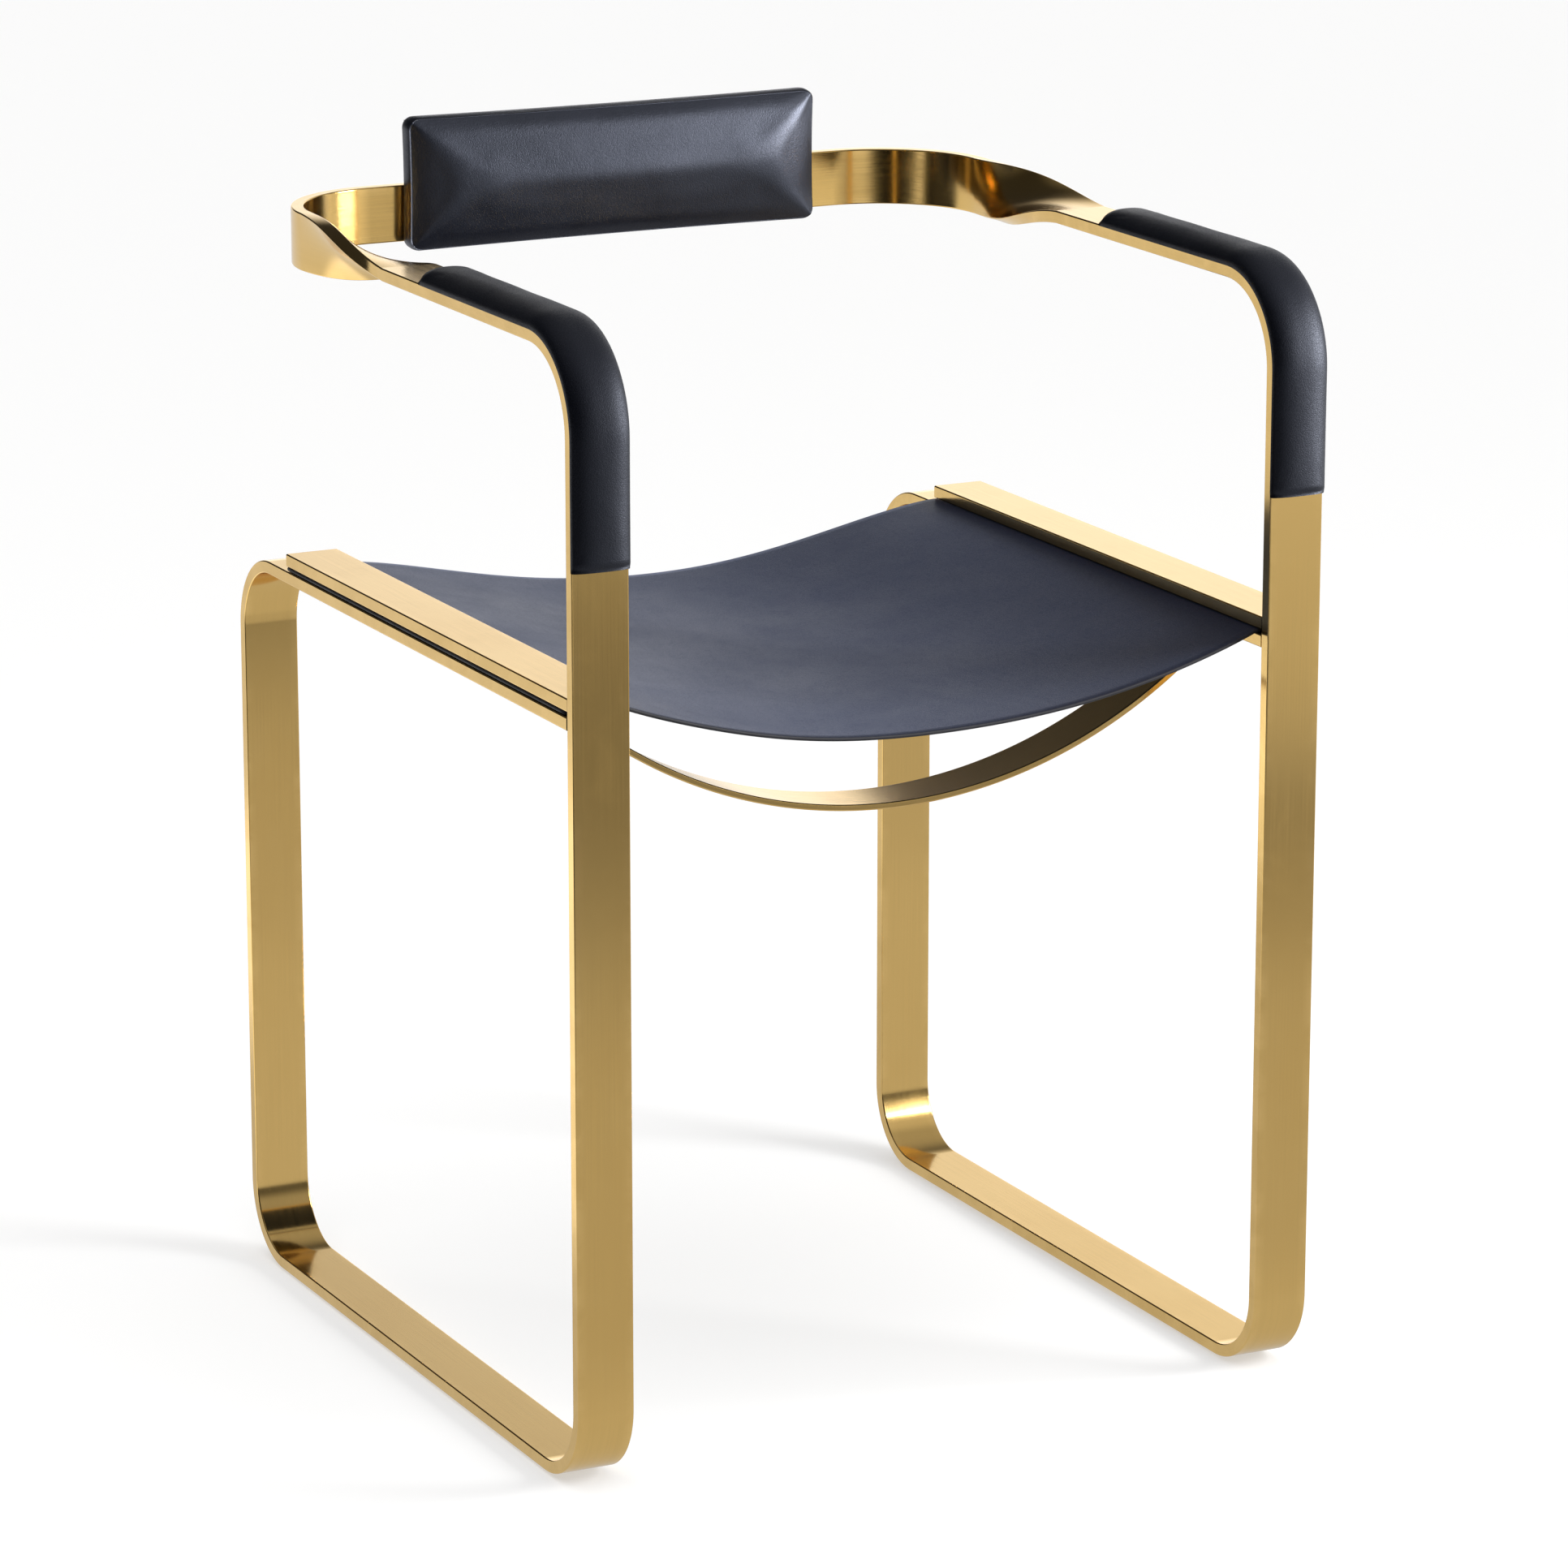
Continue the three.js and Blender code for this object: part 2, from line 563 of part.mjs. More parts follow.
// Floor glide: a low rounded pad under the runner.
function glideGeometry(side, y) {
  const outline = roundedOutline(GLIDE_WIDTH, GLIDE_LENGTH, GLIDE_CORNER_RADIUS, EDGE_STEPS);
  const ring = (z) => outline.map(([u, v]) => vector(side * BAR_MIDDLE_X + u, y + v, z));
  return loft([ring(0), ring(GLIDE_THICKNESS)]);
}

// One side of the chair, side is -1 on the left and 1 on the right.

function addSideLoop(side, prefix) {
  const runnerMiddleZ = RUNNER_UNDER_Z + BAR_THICKNESS / 2;
  const railMiddleZ = RAIL_UNDER_Z + BAR_THICKNESS / 2;
  const frontBendY = FLOOR_BEND_RADIUS;
  const rearBendY = CHAIR_DEPTH - FLOOR_BEND_RADIUS;
  const floorBendZ = RUNNER_UNDER_Z + FLOOR_BEND_RADIUS;
  const topBendZ = RAIL_TOP_Z - REAR_TOP_BEND_RADIUS;
  const upright = (y, fromZ, toZ) =>
    straight(side, 0, [y, fromZ + HALF_GAP], [y, toZ - HALF_GAP]);
  const level = (z, fromY, toY) =>
    straight(side, Math.PI / 2, [fromY + HALF_GAP, z], [toY - HALF_GAP, z]);
  const bend = (y, z, radius, turn) => trimmedBend(quarterBend(side, y, z, radius, turn));
  const bars = {
    front_leg: upright(LEG_MIDDLE_Y, floorBendZ, ARM_BEND_Z),
    front_floor_bend: bend(frontBendY, floorBendZ, FLOOR_BEND_RADIUS, Math.PI),
    floor_runner: level(runnerMiddleZ, frontBendY, rearBendY),
    rear_floor_bend: bend(rearBendY, floorBendZ, FLOOR_BEND_RADIUS, -Math.PI / 2),
    rear_leg: upright(REAR_LEG_MIDDLE_Y, floorBendZ, topBendZ),
    rear_top_bend: bend(REAR_TOP_BEND_Y, topBendZ, REAR_TOP_BEND_RADIUS, 0),
    arm_bend: bend(ARM_BEND_Y, ARM_BEND_Z, ARM_BEND_RADIUS, Math.PI / 2),
    arm_bar: level(ARM_MIDDLE_Z, ARM_BEND_Y, TWIST_END_Y),
  };
  for (const [name, stations] of Object.entries(bars)) {
    addPiece(prefix + name, sweep(stations, BAR_OUTLINE), brass);
  }
  const rail = sweep(level(railMiddleZ, BAR_THICKNESS + HALF_GAP, REAR_TOP_BEND_Y), BAR_OUTLINE);
  addPiece(prefix + "seat_rail", cut(rail, clampScrewTools(side)), brass);
}

function addTwistAndCorner(side, prefix) {
  const twist = spread(TWIST_STEPS + 1, (i) => twistStation(side, i / TWIST_STEPS));
  const corner = spread(BEND_STEPS + 1, (i) =>
    cornerStation(side, ((i / BEND_STEPS) * Math.PI) / 2),
  );
  addPiece(prefix + "arm_twist", sweep(trimmedBend(twist), BAR_OUTLINE), brass);
  addPiece(prefix + "back_corner", sweep(trimmedBend(corner), BAR_OUTLINE), brass);
}

function addSeatClamp(side, prefix) {
  const width = BAR_WIDTH - 2 * CLAMP_SIDE_STEP;
  const outline = roundedOutline(width, CLAMP_THICKNESS, BAR_EDGE_RADIUS, EDGE_STEPS);
  const middleZ = CLAMP_UNDER_Z + CLAMP_THICKNESS / 2;
  const frontY = BAR_THICKNESS + GAP;
  const bar = straight(side, Math.PI / 2, [frontY, middleZ], [CLAMP_REAR_Y, middleZ]);
  const geometry = cut(sweep(bar, outline), clampScrewTools(side));
  addPiece(prefix + "seat_clamp_bar", geometry, brass);
  clampScrewPlaces.forEach((y, i) => {
    const screw = clampScrewGeometry().translate(side * BAR_MIDDLE_X, y, RAIL_UNDER_Z);
    addPiece(prefix + "clamp_screw_" + (i + 1), screw, steel);
  });
}

function addArmPad(side, prefix) {
  addPiece(prefix + "arm_pad_foam", armPadSweep(side, armFoamOutline), foam);
  addPiece(prefix + "arm_pad_cover", armPadSweep(side, coverOutline), leather);
}

function addGlides(side, prefix) {
  const inset = FLOOR_BEND_RADIUS + GLIDE_END_MARGIN + GLIDE_LENGTH / 2;
  addPiece(prefix + "front_glide", glideGeometry(side, inset), nylon);
  addPiece(prefix + "rear_glide", glideGeometry(side, CHAIR_DEPTH - inset), nylon);
}

for (const [side, prefix] of [
  [-1, "left_"],
  [1, "right_"],
]) {
  addSideLoop(side, prefix);
  addTwistAndCorner(side, prefix);
  addSeatClamp(side, prefix);
  addArmPad(side, prefix);
  addGlides(side, prefix);
}

// Pieces on the middle line

const backBarHalf = HOOP_HALF_WIDTH - HOOP_CORNER_RADIUS - HALF_GAP;
const backBar = [-1, 1].map((end) =>
  station(vector(end * backBarHalf, BACK_BAR_Y, BACK_MIDDLE_Z), UP, vector(0, 1, 0)),
);
addPiece("back_bar", cut(sweep(backBar, BAR_OUTLINE), padScrewTools), brass);
addPiece("front_brace", braceGeometry(), brass);
const seatTools = [-1, 1].flatMap((side) => clampScrewTools(side));
addPiece("seat_leather", cut(seatGeometry(), seatTools), leather);
addPiece("back_pad_board", boardGeometry(), plywood);
addPiece("back_pad_foam", padForm(contentInset, foamRearDepth), foam);
addPiece("back_pad_cover", cut(padForm(0, 0), [padForm(coverInset, -OVERRUN)]), leather);
padScrewPlaces.forEach((x, i) => {
  addPiece("back_pad_screw_" + (i + 1), atPadScrew(padScrewGeometry(), x), steel);
});

// The pads on the legs stand furthest forward and the rear legs furthest back.
const padFrontY =
  -GAP - ARM_PAD_SHOULDER - ARM_PAD_CROWN * ARM_PAD_LEG_SHARE - ARM_LEATHER_THICKNESS;
group.position.y = -(padFrontY + CHAIR_DEPTH) / 2;

export default group;
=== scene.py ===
import bmesh
import bpy
import math
import numpy as np
from mathutils import Matrix, Vector


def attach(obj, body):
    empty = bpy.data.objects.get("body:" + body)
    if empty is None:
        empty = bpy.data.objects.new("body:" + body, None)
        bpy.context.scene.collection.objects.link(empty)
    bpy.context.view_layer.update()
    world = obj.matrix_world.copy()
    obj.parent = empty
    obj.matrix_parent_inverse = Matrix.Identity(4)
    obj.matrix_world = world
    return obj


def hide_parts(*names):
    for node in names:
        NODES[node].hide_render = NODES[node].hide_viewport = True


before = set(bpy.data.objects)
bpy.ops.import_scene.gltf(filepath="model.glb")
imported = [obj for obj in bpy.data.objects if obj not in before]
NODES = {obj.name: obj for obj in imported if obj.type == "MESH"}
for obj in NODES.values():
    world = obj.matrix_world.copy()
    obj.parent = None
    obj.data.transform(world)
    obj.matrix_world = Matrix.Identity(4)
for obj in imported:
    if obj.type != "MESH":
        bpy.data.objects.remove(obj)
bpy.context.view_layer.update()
ROOT = "root"

# Sizes in millimetres, as in the part's source. Y is counted from the front of the front legs.
WIDTH, DEPTH = 494.0, 508.0
BAR, THICK = 36.0, 8.0
GAP = 0.3
RUNNER_Z = 1.9  # underside of the floor runners, on the glides
RAIL_Z = RUNNER_Z + 461.0  # underside of the rails
HIDE = 2.2
HIDE_Z = RAIL_Z + THICK + GAP
CLAMP_Z = HIDE_Z + HIDE + GAP
ARM_MID = RUNNER_Z + 678.5 + THICK / 2
BACK_MID = RUNNER_Z + 679.0
BACK_Y = DEPTH - 22.0
MID_X = WIDTH / 2 - BAR / 2
INNER_X = WIDTH / 2 - BAR
FLOOR_R, TOP_R, ARM_R, HOOP_R = 49.0, 50.0, 57.0, 72.0
HOOP_X = MID_X + 6.0
TWIST_END = 268.0
CLAMP_END = DEPTH - TOP_R - 28.0
SEAT_FRONT, SEAT_REAR = 14.0, CLAMP_END - 2.0
SAG_FRONT, SAG_REAR = 39.0, 29.0
FULL_FRONT, FULL_REAR = 0.95, 1.5
ARM_FRONT = -8.1  # the arm pads' front face
MIDDLE_Y = (ARM_FRONT + DEPTH) / 2
MM = 0.001


def metres(points):
    """Millimetres in the part's own Y to metres in the shared frame."""
    return (np.asarray(points, float) - [0, MIDDLE_Y, 0]) * MM


def ease(t):
    return t * t * (3 - 2 * t)


# Shader helpers


class Sock:
    """An output socket that takes part in sums; each operator adds one Math node."""

    def __init__(self, net, out):
        self.net, self.out = net, out

    def _math(self, operation, *values, clamp=False):
        return self.net.node("ShaderNodeMath", values, operation=operation, use_clamp=clamp)

    def __add__(self, other):
        return self._math("ADD", self, other)

    def __sub__(self, other):
        return self._math("SUBTRACT", self, other)

    def __mul__(self, other):
        return self._math("MULTIPLY", self, other)

    def __rsub__(self, other):
        return self._math("SUBTRACT", other, self)

    __radd__ = __add__
    __rmul__ = __mul__

    def size(self):
        return self._math("ABSOLUTE", self)

    def clamped(self):
        return self._math("ADD", self, 0.0, clamp=True)

    def ramp(self, low, high, to_low=0.0, to_high=1.0):
        values = (self, low, high, to_low, to_high)
        return self.net.node("ShaderNodeMapRange", values, interpolation_type="SMOOTHSTEP")


class Net:
    """Builds one node tree."""

    def __init__(self, tree):
        self.tree = tree
        tree.nodes.clear()

    def put(self, socket, value):
        if isinstance(value, Sock):
            self.tree.links.new(value.out, socket)
        elif hasattr(value, "__len__") and len(socket.default_value) == 4 and len(value) == 3:
            socket.default_value = (*value, 1.0)
        else:
            socket.default_value = value

    def node(self, kind, values=(), output=0, **settings):
        n = self.tree.nodes.new(kind)
        for name, value in settings.items():
            setattr(n, name, value)
        items = values.items() if isinstance(values, dict) else enumerate(values)
        for key, value in items:
            if value is not None:
                self.put(n.inputs[key], value)
        return Sock(self, n.outputs[output]) if n.outputs else n

    def noise(self, where, scale, detail=3.0, rough=0.5, distort=0.0):
        values = {"Vector": where, "Scale": scale, "Detail": detail, "Roughness": rough,
                  "Distortion": distort}
        return self.node("ShaderNodeTexNoise", values)

    def cells(self, where, scale, uneven):
        values = {"Vector": where, "Scale": scale, "Randomness": uneven}
        return self.node("ShaderNodeTexVoronoi", values, feature="DISTANCE_TO_EDGE")

    def stretched(self, where, factors):
        return self.node("ShaderNodeVectorMath", (where, factors), operation="MULTIPLY")

    def mix(self, factor, a, b):
        n = self.tree.nodes.new("ShaderNodeMix")
        n.data_type = "RGBA"
        for socket, value in zip((n.inputs[0], n.inputs[6], n.inputs[7]), (factor, a, b)):
            self.put(socket, value)
        return Sock(self, n.outputs[2])

    def bump(self, height, distance, strength=1.0, normal=None):
        values = {"Strength": strength, "Distance": distance, "Height": height, "Normal": normal}
        return self.node("ShaderNodeBump", values)


def shader(name, build):
    """A material whose Principled inputs are the dictionary that build(net) returns."""
    m = bpy.data.materials.new(name)
    m.use_nodes = True
    net = Net(m.node_tree)
    values = build(net)
    surface = net.node("ShaderNodeBsdfPrincipled", values)
    net.node("ShaderNodeOutputMaterial", {"Surface": surface})
    return m


def object_place(net):
    return net.node("ShaderNodeTexCoord", output=3)


def brass(tone):
    """Satin brass; UV runs along the bar and round it in metres, and edge is 1 on its corners."""

    def build(net):
        uv = net.node("ShaderNodeUVMap", uv_map="UVMap")
        place = object_place(net)
        brushed = net.noise(net.stretched(uv, (9.0, 900.0, 1.0)), 1.0, 3.0, 0.6)
        fine = net.noise(net.stretched(uv, (40.0, 3200.0, 1.0)), 1.0, 2.0, 0.5)
        cloud = net.noise(place, 7.0, 4.0, 0.55)
        smear = net.noise(place, 34.0, 5.0, 0.62, 0.6)
        edge = net.node("ShaderNodeAttribute", attribute_name="edge", output=2)
        worn = (edge * smear.ramp(0.35, 0.7)).clamped()
        aged = cloud.ramp(0.38, 0.72)
        dull = [c * f for c, f in zip(tone, (0.95, 0.93, 0.88))]
        tint = net.mix(aged, [c * 0.985 for c in tone], dull)
        tint = net.mix(brushed.ramp(0.3, 0.75) * 0.22, tint, [c * 0.86 for c in tone])
        tint = net.mix(worn * 0.6, tint, [min(1.0, c * 1.1 + 0.03) for c in tone])
        rough = brushed.ramp(0.25, 0.8, 0.115, 0.175) + smear.ramp(0.45, 0.75) * 0.03
        rough = rough - worn * 0.04 + aged * 0.015
        height = brushed * 0.6 + fine * 0.4
        return {"Base Color": tint, "Metallic": 1.0, "Roughness": rough,
                "Normal": net.bump(height, 0.00003, 0.6)}

    return shader("brass", build)


SHEEN_TINT = (0.74, 0.80, 1.0)


def leather_shader(name, deep, light, rough, level, coat, sheen):
    """Smooth dyed hide: fine pebbled grain, hair-line creases and slow changes of tone."""

    def build(net):
        place = object_place(net)
        warp = net.noise(place, 240.0, 2.0, 0.5)
        cells = net.cells(place, 820.0, 0.95)
        coarse = net.cells(place, 330.0, 1.0)
        tone = net.noise(place, 11.0, 4.0, 0.6)
        patch = net.noise(place, 46.0, 5.0, 0.62, 0.5)
        lines = net.noise(net.stretched(place, (1.0, 2.6, 1.0)), 58.0, 6.0, 0.7, 1.4)
        crease = 1.0 - (lines - 0.5).size().ramp(0.0, 0.025)
        pebble = cells.ramp(0.0, 0.22)
        deepest = coarse.ramp(0.0, 0.12)
        height = pebble * 0.55 + deepest * 0.35 + warp * 0.3 - crease * 0.25
        mixed = net.mix(tone.ramp(0.3, 0.72), deep, light)
        mixed = net.mix(patch.ramp(0.5, 0.8) * 0.35, mixed, [c * 1.45 for c in light])
        mixed = net.mix((1.0 - pebble) * 0.5, mixed, [c * 0.55 for c in deep])
        roughness = tone.ramp(0.2, 0.8, rough - 0.05, rough + 0.05) + (1.0 - pebble) * 0.12
        roughness = roughness + patch.ramp(0.4, 0.8) * 0.04
        return {"Base Color": mixed, "Roughness": roughness, "Specular IOR Level": level,
                "Specular Tint": SHEEN_TINT, "Coat Weight": coat, "Coat Roughness": 0.3,
                "Coat Tint": SHEEN_TINT, "Sheen Weight": sheen, "Sheen Roughness": 0.4,
                "Sheen Tint": (0.42, 0.55, 1.0), "Normal": net.bump(height, 0.00009, 0.5)}

    return shader(name, build)


def simple_shader(name, base, rough, bump_scale=900.0, bump_depth=0.00004, metallic=0.0, vary=0.2):
    def build(net):
        place = object_place(net)
        wide = net.noise(place, 60.0, 4.0, 0.6)
        small = net.noise(place, bump_scale, 3.0, 0.6)
        tint = net.mix(wide.ramp(0.3, 0.75), base, [c * (1.0 - vary) for c in base])
        return {"Base Color": tint, "Metallic": metallic,
                "Roughness": wide.ramp(0.3, 0.7, rough, min(1.0, rough + 0.1)),
                "Normal": net.bump(small, bump_depth, 0.5)}

    return shader(name, build)


# Fitted to the photo under the light below. The navy leathers of the seat, the arms and the back
# pad differ only because each was fitted by itself; the real chair probably has one.
BRASS = brass((0.87, 0.585, 0.208))
# Painted light and shade: the three navy leathers are lit and shaded copies of one leather. The seat's
# base colour is the lighter copy, and the much darker base colours of the arms and the back pad are
# painted shade.
NAVY = leather_shader("navy_leather", (0.0036, 0.0046, 0.013), (0.0055, 0.0070, 0.017),
                      0.42, 0.50, 0.0, 0.20)
NAVY_ARM_SHADED = leather_shader("navy_arm_leather_shaded", (0.0013, 0.0015, 0.0032), (0.0021, 0.0025, 0.0050),
                           0.41, 0.53, 0.0, 0.012)
NAVY_PAD_SHADED = leather_shader("navy_pad_leather_shaded", (0.0012, 0.0014, 0.0034), (0.0020, 0.0024, 0.0054),
                          0.35, 0.92, 0.12, 0.008)
CUT_EDGE = simple_shader("burnished_edge", (0.012, 0.012, 0.018), 0.5, 1500.0, 0.00006)
STEEL = simple_shader("screw_steel", (0.60, 0.585, 0.56), 0.28, 1800.0, 0.00002, 1.0, 0.1)
NYLON = simple_shader("glide_nylon", (0.62, 0.61, 0.58), 0.55, 700.0, 0.00004)
LINING = simple_shader("lining_cloth", (0.016, 0.016, 0.020), 0.9, 1400.0, 0.0003)

# Mesh helpers


def make_object(name, points, faces, materials, smooth=True):
    mesh = bpy.data.meshes.new(name)
    mesh.from_pydata([tuple(p) for p in points], [], faces)
    mesh.validate()
    for m in materials if isinstance(materials, (list, tuple)) else [materials]:
        mesh.materials.append(m)
    mesh.polygons.foreach_set("use_smooth", [smooth] * len(mesh.polygons))
    mesh.update()
    o = bpy.data.objects.new(name, mesh)
    bpy.context.scene.collection.objects.link(o)
    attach(o, ROOT)
    return o


def bar_section(width, thick, radius=0.9, arc=4, across=6):
    """Points, tangents and an edge mark round a rectangle with round corners."""
    out = []
    corners = ((1, 1), (-1, 1), (-1, -1), (1, -1))
    for quarter, (su, sv) in enumerate(corners):
        for i in range(arc + 1):
            a = (quarter + i / arc) * math.pi / 2
            u = su * (width / 2 - radius) + radius * math.cos(a)
            v = sv * (thick / 2 - radius) + radius * math.sin(a)
            out.append((u, v, -math.sin(a), math.cos(a), 1.0))
        if across and quarter % 2 == 0:
            for k in range(1, across):
                t = k / across
                u = su * (width / 2 - radius) * (1 - 2 * t)
                out.append((u, sv * thick / 2, -su, 0.0, 0.0))
    return np.array(out)


def strip(name, centres, wides, thicks, section, material, slot, chamfer=0.6):
    """Sweeps the section along stations, with exact normals, UV in metres and an edge mark."""
    C, W, T = (np.asarray(a, float) for a in (centres, wides, thicks))
    n, k = len(C), len(section)
    U, V, du, dv, mark = section.T
    ends = []
    for end, inner in ((0, 1), (n - 1, n - 2)):
        out = (C[end] - C[inner]) / np.linalg.norm(C[end] - C[inner])
        shrink = (1 - 2 * chamfer / (2 * abs(U).max()), 1 - 2 * chamfer / (2 * abs(V).max()))
        cap = C[end] + (U * shrink[0])[:, None] * W[end] + (V * shrink[1])[:, None] * T[end]
        ends.append((end, out, cap))
        C[end] = C[end] - out * chamfer
    P = C[:, None] + U[None, :, None] * W[:, None] + V[None, :, None] * T[:, None]
    along = np.gradient(P, axis=0)
    around = du[None, :, None] * W[:, None] + dv[None, :, None] * T[:, None]
    N = np.cross(around, along)
    N /= np.linalg.norm(N, axis=2, keepdims=True)
    if np.sum((P - P.mean(axis=1, keepdims=True)) * N) < 0:
        N = -N
    run = np.r_[0, np.cumsum(np.linalg.norm(np.diff(C, axis=0), axis=1))]
    turn = np.r_[0, np.cumsum(np.linalg.norm(np.diff(np.c_[U, V], axis=0), axis=1))]
    whole = turn[-1] + math.hypot(U[0] - U[-1], V[0] - V[-1])
    points, normals = [*P.reshape(-1, 3)], [*N.reshape(-1, 3)]
    faces, uvs = [], []
    for r in range(n - 1):
        for i in range(k):
            j = (i + 1) % k
            faces.append((r * k + i, r * k + j, (r + 1) * k + j, (r + 1) * k + i))
            vi, vj = turn[i], (turn[j] if j else whole)
            uvs += [(run[r], vi), (run[r], vj), (run[r + 1], vj), (run[r + 1], vi)]
    for end, out, cap in ends:
        base = len(points)
        points += [*cap]
        normals += [*np.repeat(out[None], k, axis=0)]
        for i in range(k):
            j = (i + 1) % k
            faces.append((end * k + i, end * k + j, base + j, base + i))
            uvs += [(run[end], turn[i])] * 4
        faces.append(tuple(base + i for i in range(k)))
        uvs += [(run[end] + p, q) for p, q in zip(U, V)]
    o = make_object(name, metres(points), faces, material)
    mesh = o.data
    layer = mesh.uv_layers.new(name="UVMap")
    layer.data.foreach_set("uv", (np.array(uvs) * MM).ravel())
    edge = mesh.attributes.new("edge", "FLOAT", "POINT")
    edge.data.foreach_set("value", [*np.tile(mark, n), *([0.3] * (len(points) - n * k))])
    fix_winding(mesh)
    mesh.normals_split_custom_set_from_vertices([tuple(v) for v in normals])
    return o


def fix_winding(mesh):
    bm = bmesh.new()
    bm.from_mesh(mesh)
    if bm.calc_volume(signed=True) < 0:
        bmesh.ops.reverse_faces(bm, faces=bm.faces)
    bm.to_mesh(mesh)
    bm.free()


# The frame: one bar from the left rail's front end to the right one's

SECTION = bar_section(BAR, THICK)


def side_stations(side):
    """Rail, rear leg, runner, front leg and arm of one side, thickness pointing out of the loop."""
    out = []

    def add(y, z, turn):
        out.append(((side * MID_X, y, z), (side, 0, 0), (0, math.cos(turn), math.sin(turn))))

    def bend(cy, cz, radius, start, stop, steps=26):
        r = radius - THICK / 2
        for i in range(steps + 1):
            a = start + (stop - start) * i / steps
            add(cy + r * math.cos(a), cz + r * math.sin(a), a)

    half = math.pi / 2
    rail = RAIL_Z + THICK / 2
    for y in np.linspace(THICK + GAP / 2, DEPTH - TOP_R - 12, 5):
        add(y, rail, half)
    bend(DEPTH - TOP_R, RAIL_Z + THICK - TOP_R, TOP_R, half, 0)
    bend(DEPTH - FLOOR_R, RUNNER_Z + FLOOR_R, FLOOR_R, 0, -half)
    bend(FLOOR_R, RUNNER_Z + FLOOR_R, FLOOR_R, -half, -2 * half)
    bend(ARM_R, ARM_MID + THICK / 2 - ARM_R, ARM_R, -2 * half, -3 * half)
    for y in np.linspace(ARM_R + 30, TWIST_END, 4):
        add(y, ARM_MID, -3 * half)
    return out


TWIST_EASE = 0.6
TWIST_RUN = BACK_Y - HOOP_R - TWIST_END


def hoop_station(side, x, y, out, way=0.0):
    """Upright at way 0, where the corner ends, and flat at way 1, on the arm."""
    turn = (TWIST_EASE * ease(way) + (1 - TWIST_EASE) * way) * math.pi / 2
    o = np.array([side * out[0], out[1], 0.0])
    up = np.array([0, 0, 1.0])
    centre = (side * x, y, BACK_MID + (ARM_MID - BACK_MID) * ease(way))
    return centre, up * math.cos(turn) + o * math.sin(turn), up * math.sin(turn) - o * math.cos(turn)


def hoop_stations(side):
    """From the arm back through the twist and the corner to the middle of the back bar."""
    out = []
    for share in np.linspace(1, 0, 71)[1:]:
        x = HOOP_X + (MID_X - HOOP_X) * ease(share)
        out.append(hoop_station(side, x, BACK_Y - HOOP_R - TWIST_RUN * share, (1, 0), share))
    for turn in np.linspace(math.pi / 2, 0, 45)[1:]:
        o = (math.sin(turn), math.cos(turn))
        out.append(hoop_station(side, HOOP_X - HOOP_R * (1 - o[0]), BACK_Y - HOOP_R * (1 - o[1]), o))
    for x in (120.0, 60.0):
        out.append(hoop_station(side, x, BACK_Y, (0, 1)))
    return out


left, right = (side_stations(s) + hoop_stations(s) for s in (-1, 1))
middle = [hoop_station(1, 0, BACK_Y, (0, 1))]
loop = left + middle + right[::-1]
frame_bar = strip("frame_bar", *zip(*loop), SECTION, BRASS, "brass")
SIDE_NODES = ("front_leg", "front_floor_bend", "floor_runner", "rear_floor_bend", "rear_leg",
              "rear_top_bend", "seat_rail", "arm_bend", "arm_bar", "arm_twist", "back_corner")
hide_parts("back_bar", *(s + n for s in ("left_", "right_") for n in SIDE_NODES))

# Clamp bars on the hide
clamp_section = bar_section(BAR - 1.2, THICK)
for side, prefix in ((-1, "left_"), (1, "right_")):
    ys = np.linspace(THICK + GAP, CLAMP_END, 6)
    centres = [(side * MID_X, y, CLAMP_Z + THICK / 2) for y in ys]
    clamp = strip(prefix + "clamp", centres, [(side, 0, 0)] * 6, [(0, 0, 1)] * 6, clamp_section,
                  BRASS, "brass")
    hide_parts(prefix + "seat_clamp_bar")

# Brace under the front of the seat
BRACE_DROP, BRACE_T, BRACE_Y, BRACE_REACH = 90.0, 4.0, 74.0, 224.0
brace_r = (BRACE_REACH ** 2 + BRACE_DROP ** 2) / (2 * BRACE_DROP)
brace_cz = RAIL_Z - BRACE_DROP + brace_r
brace_half = math.acos((brace_cz - RAIL_Z + GAP) / (brace_r - BRACE_T / 2))
turns = np.linspace(-brace_half, brace_half, 90)
r = brace_r - BRACE_T / 2
brace = strip("brace", [(r * math.sin(a), BRACE_Y + BAR / 2, brace_cz - r * math.cos(a)) for a in turns],
              [(0, 1, 0)] * 90, [(-math.sin(a), 0, math.cos(a)) for a in turns],
              bar_section(BAR, BRACE_T), BRASS, "brass")
for v in brace.data.vertices:
    v.co.z = min(v.co.z, (RAIL_Z - 0.05) * MM)
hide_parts("front_brace")

# Seat hide


def sag(x, y):
    """How far the hide hangs below the rails' tops: deeper and fuller at the front."""
    back = (y - SEAT_FRONT) / (SEAT_REAR - SEAT_FRONT)
    reach = max(0.0, 1 - (x / INNER_X) ** 2)
    depth = SAG_FRONT + (SAG_REAR - SAG_FRONT) * back
    return depth * reach ** (FULL_FRONT + (FULL_REAR - FULL_FRONT) * back)


def hide_surface(x, y):
    """Middle height of the hide, with the faint unevenness of a used one."""
    wave = 0.7 * math.sin(x / 61 + y / 90) + 0.45 * math.sin(x / 33 - y / 71 + 1.7)
    free = max(0.0, 1 - (x / INNER_X) ** 2)
    return HIDE_Z + HIDE / 2 - sag(x, y) + wave * free * 0.9


edge_x = WIDTH / 2 - 1.2
xs = np.r_[-edge_x, np.linspace(-INNER_X - 12, -INNER_X + 6, 8),
           np.linspace(-INNER_X + 12, INNER_X - 12, 90),
           np.linspace(INNER_X - 6, INNER_X + 12, 8), edge_x]
ys = np.linspace(SEAT_FRONT, SEAT_REAR, 70)


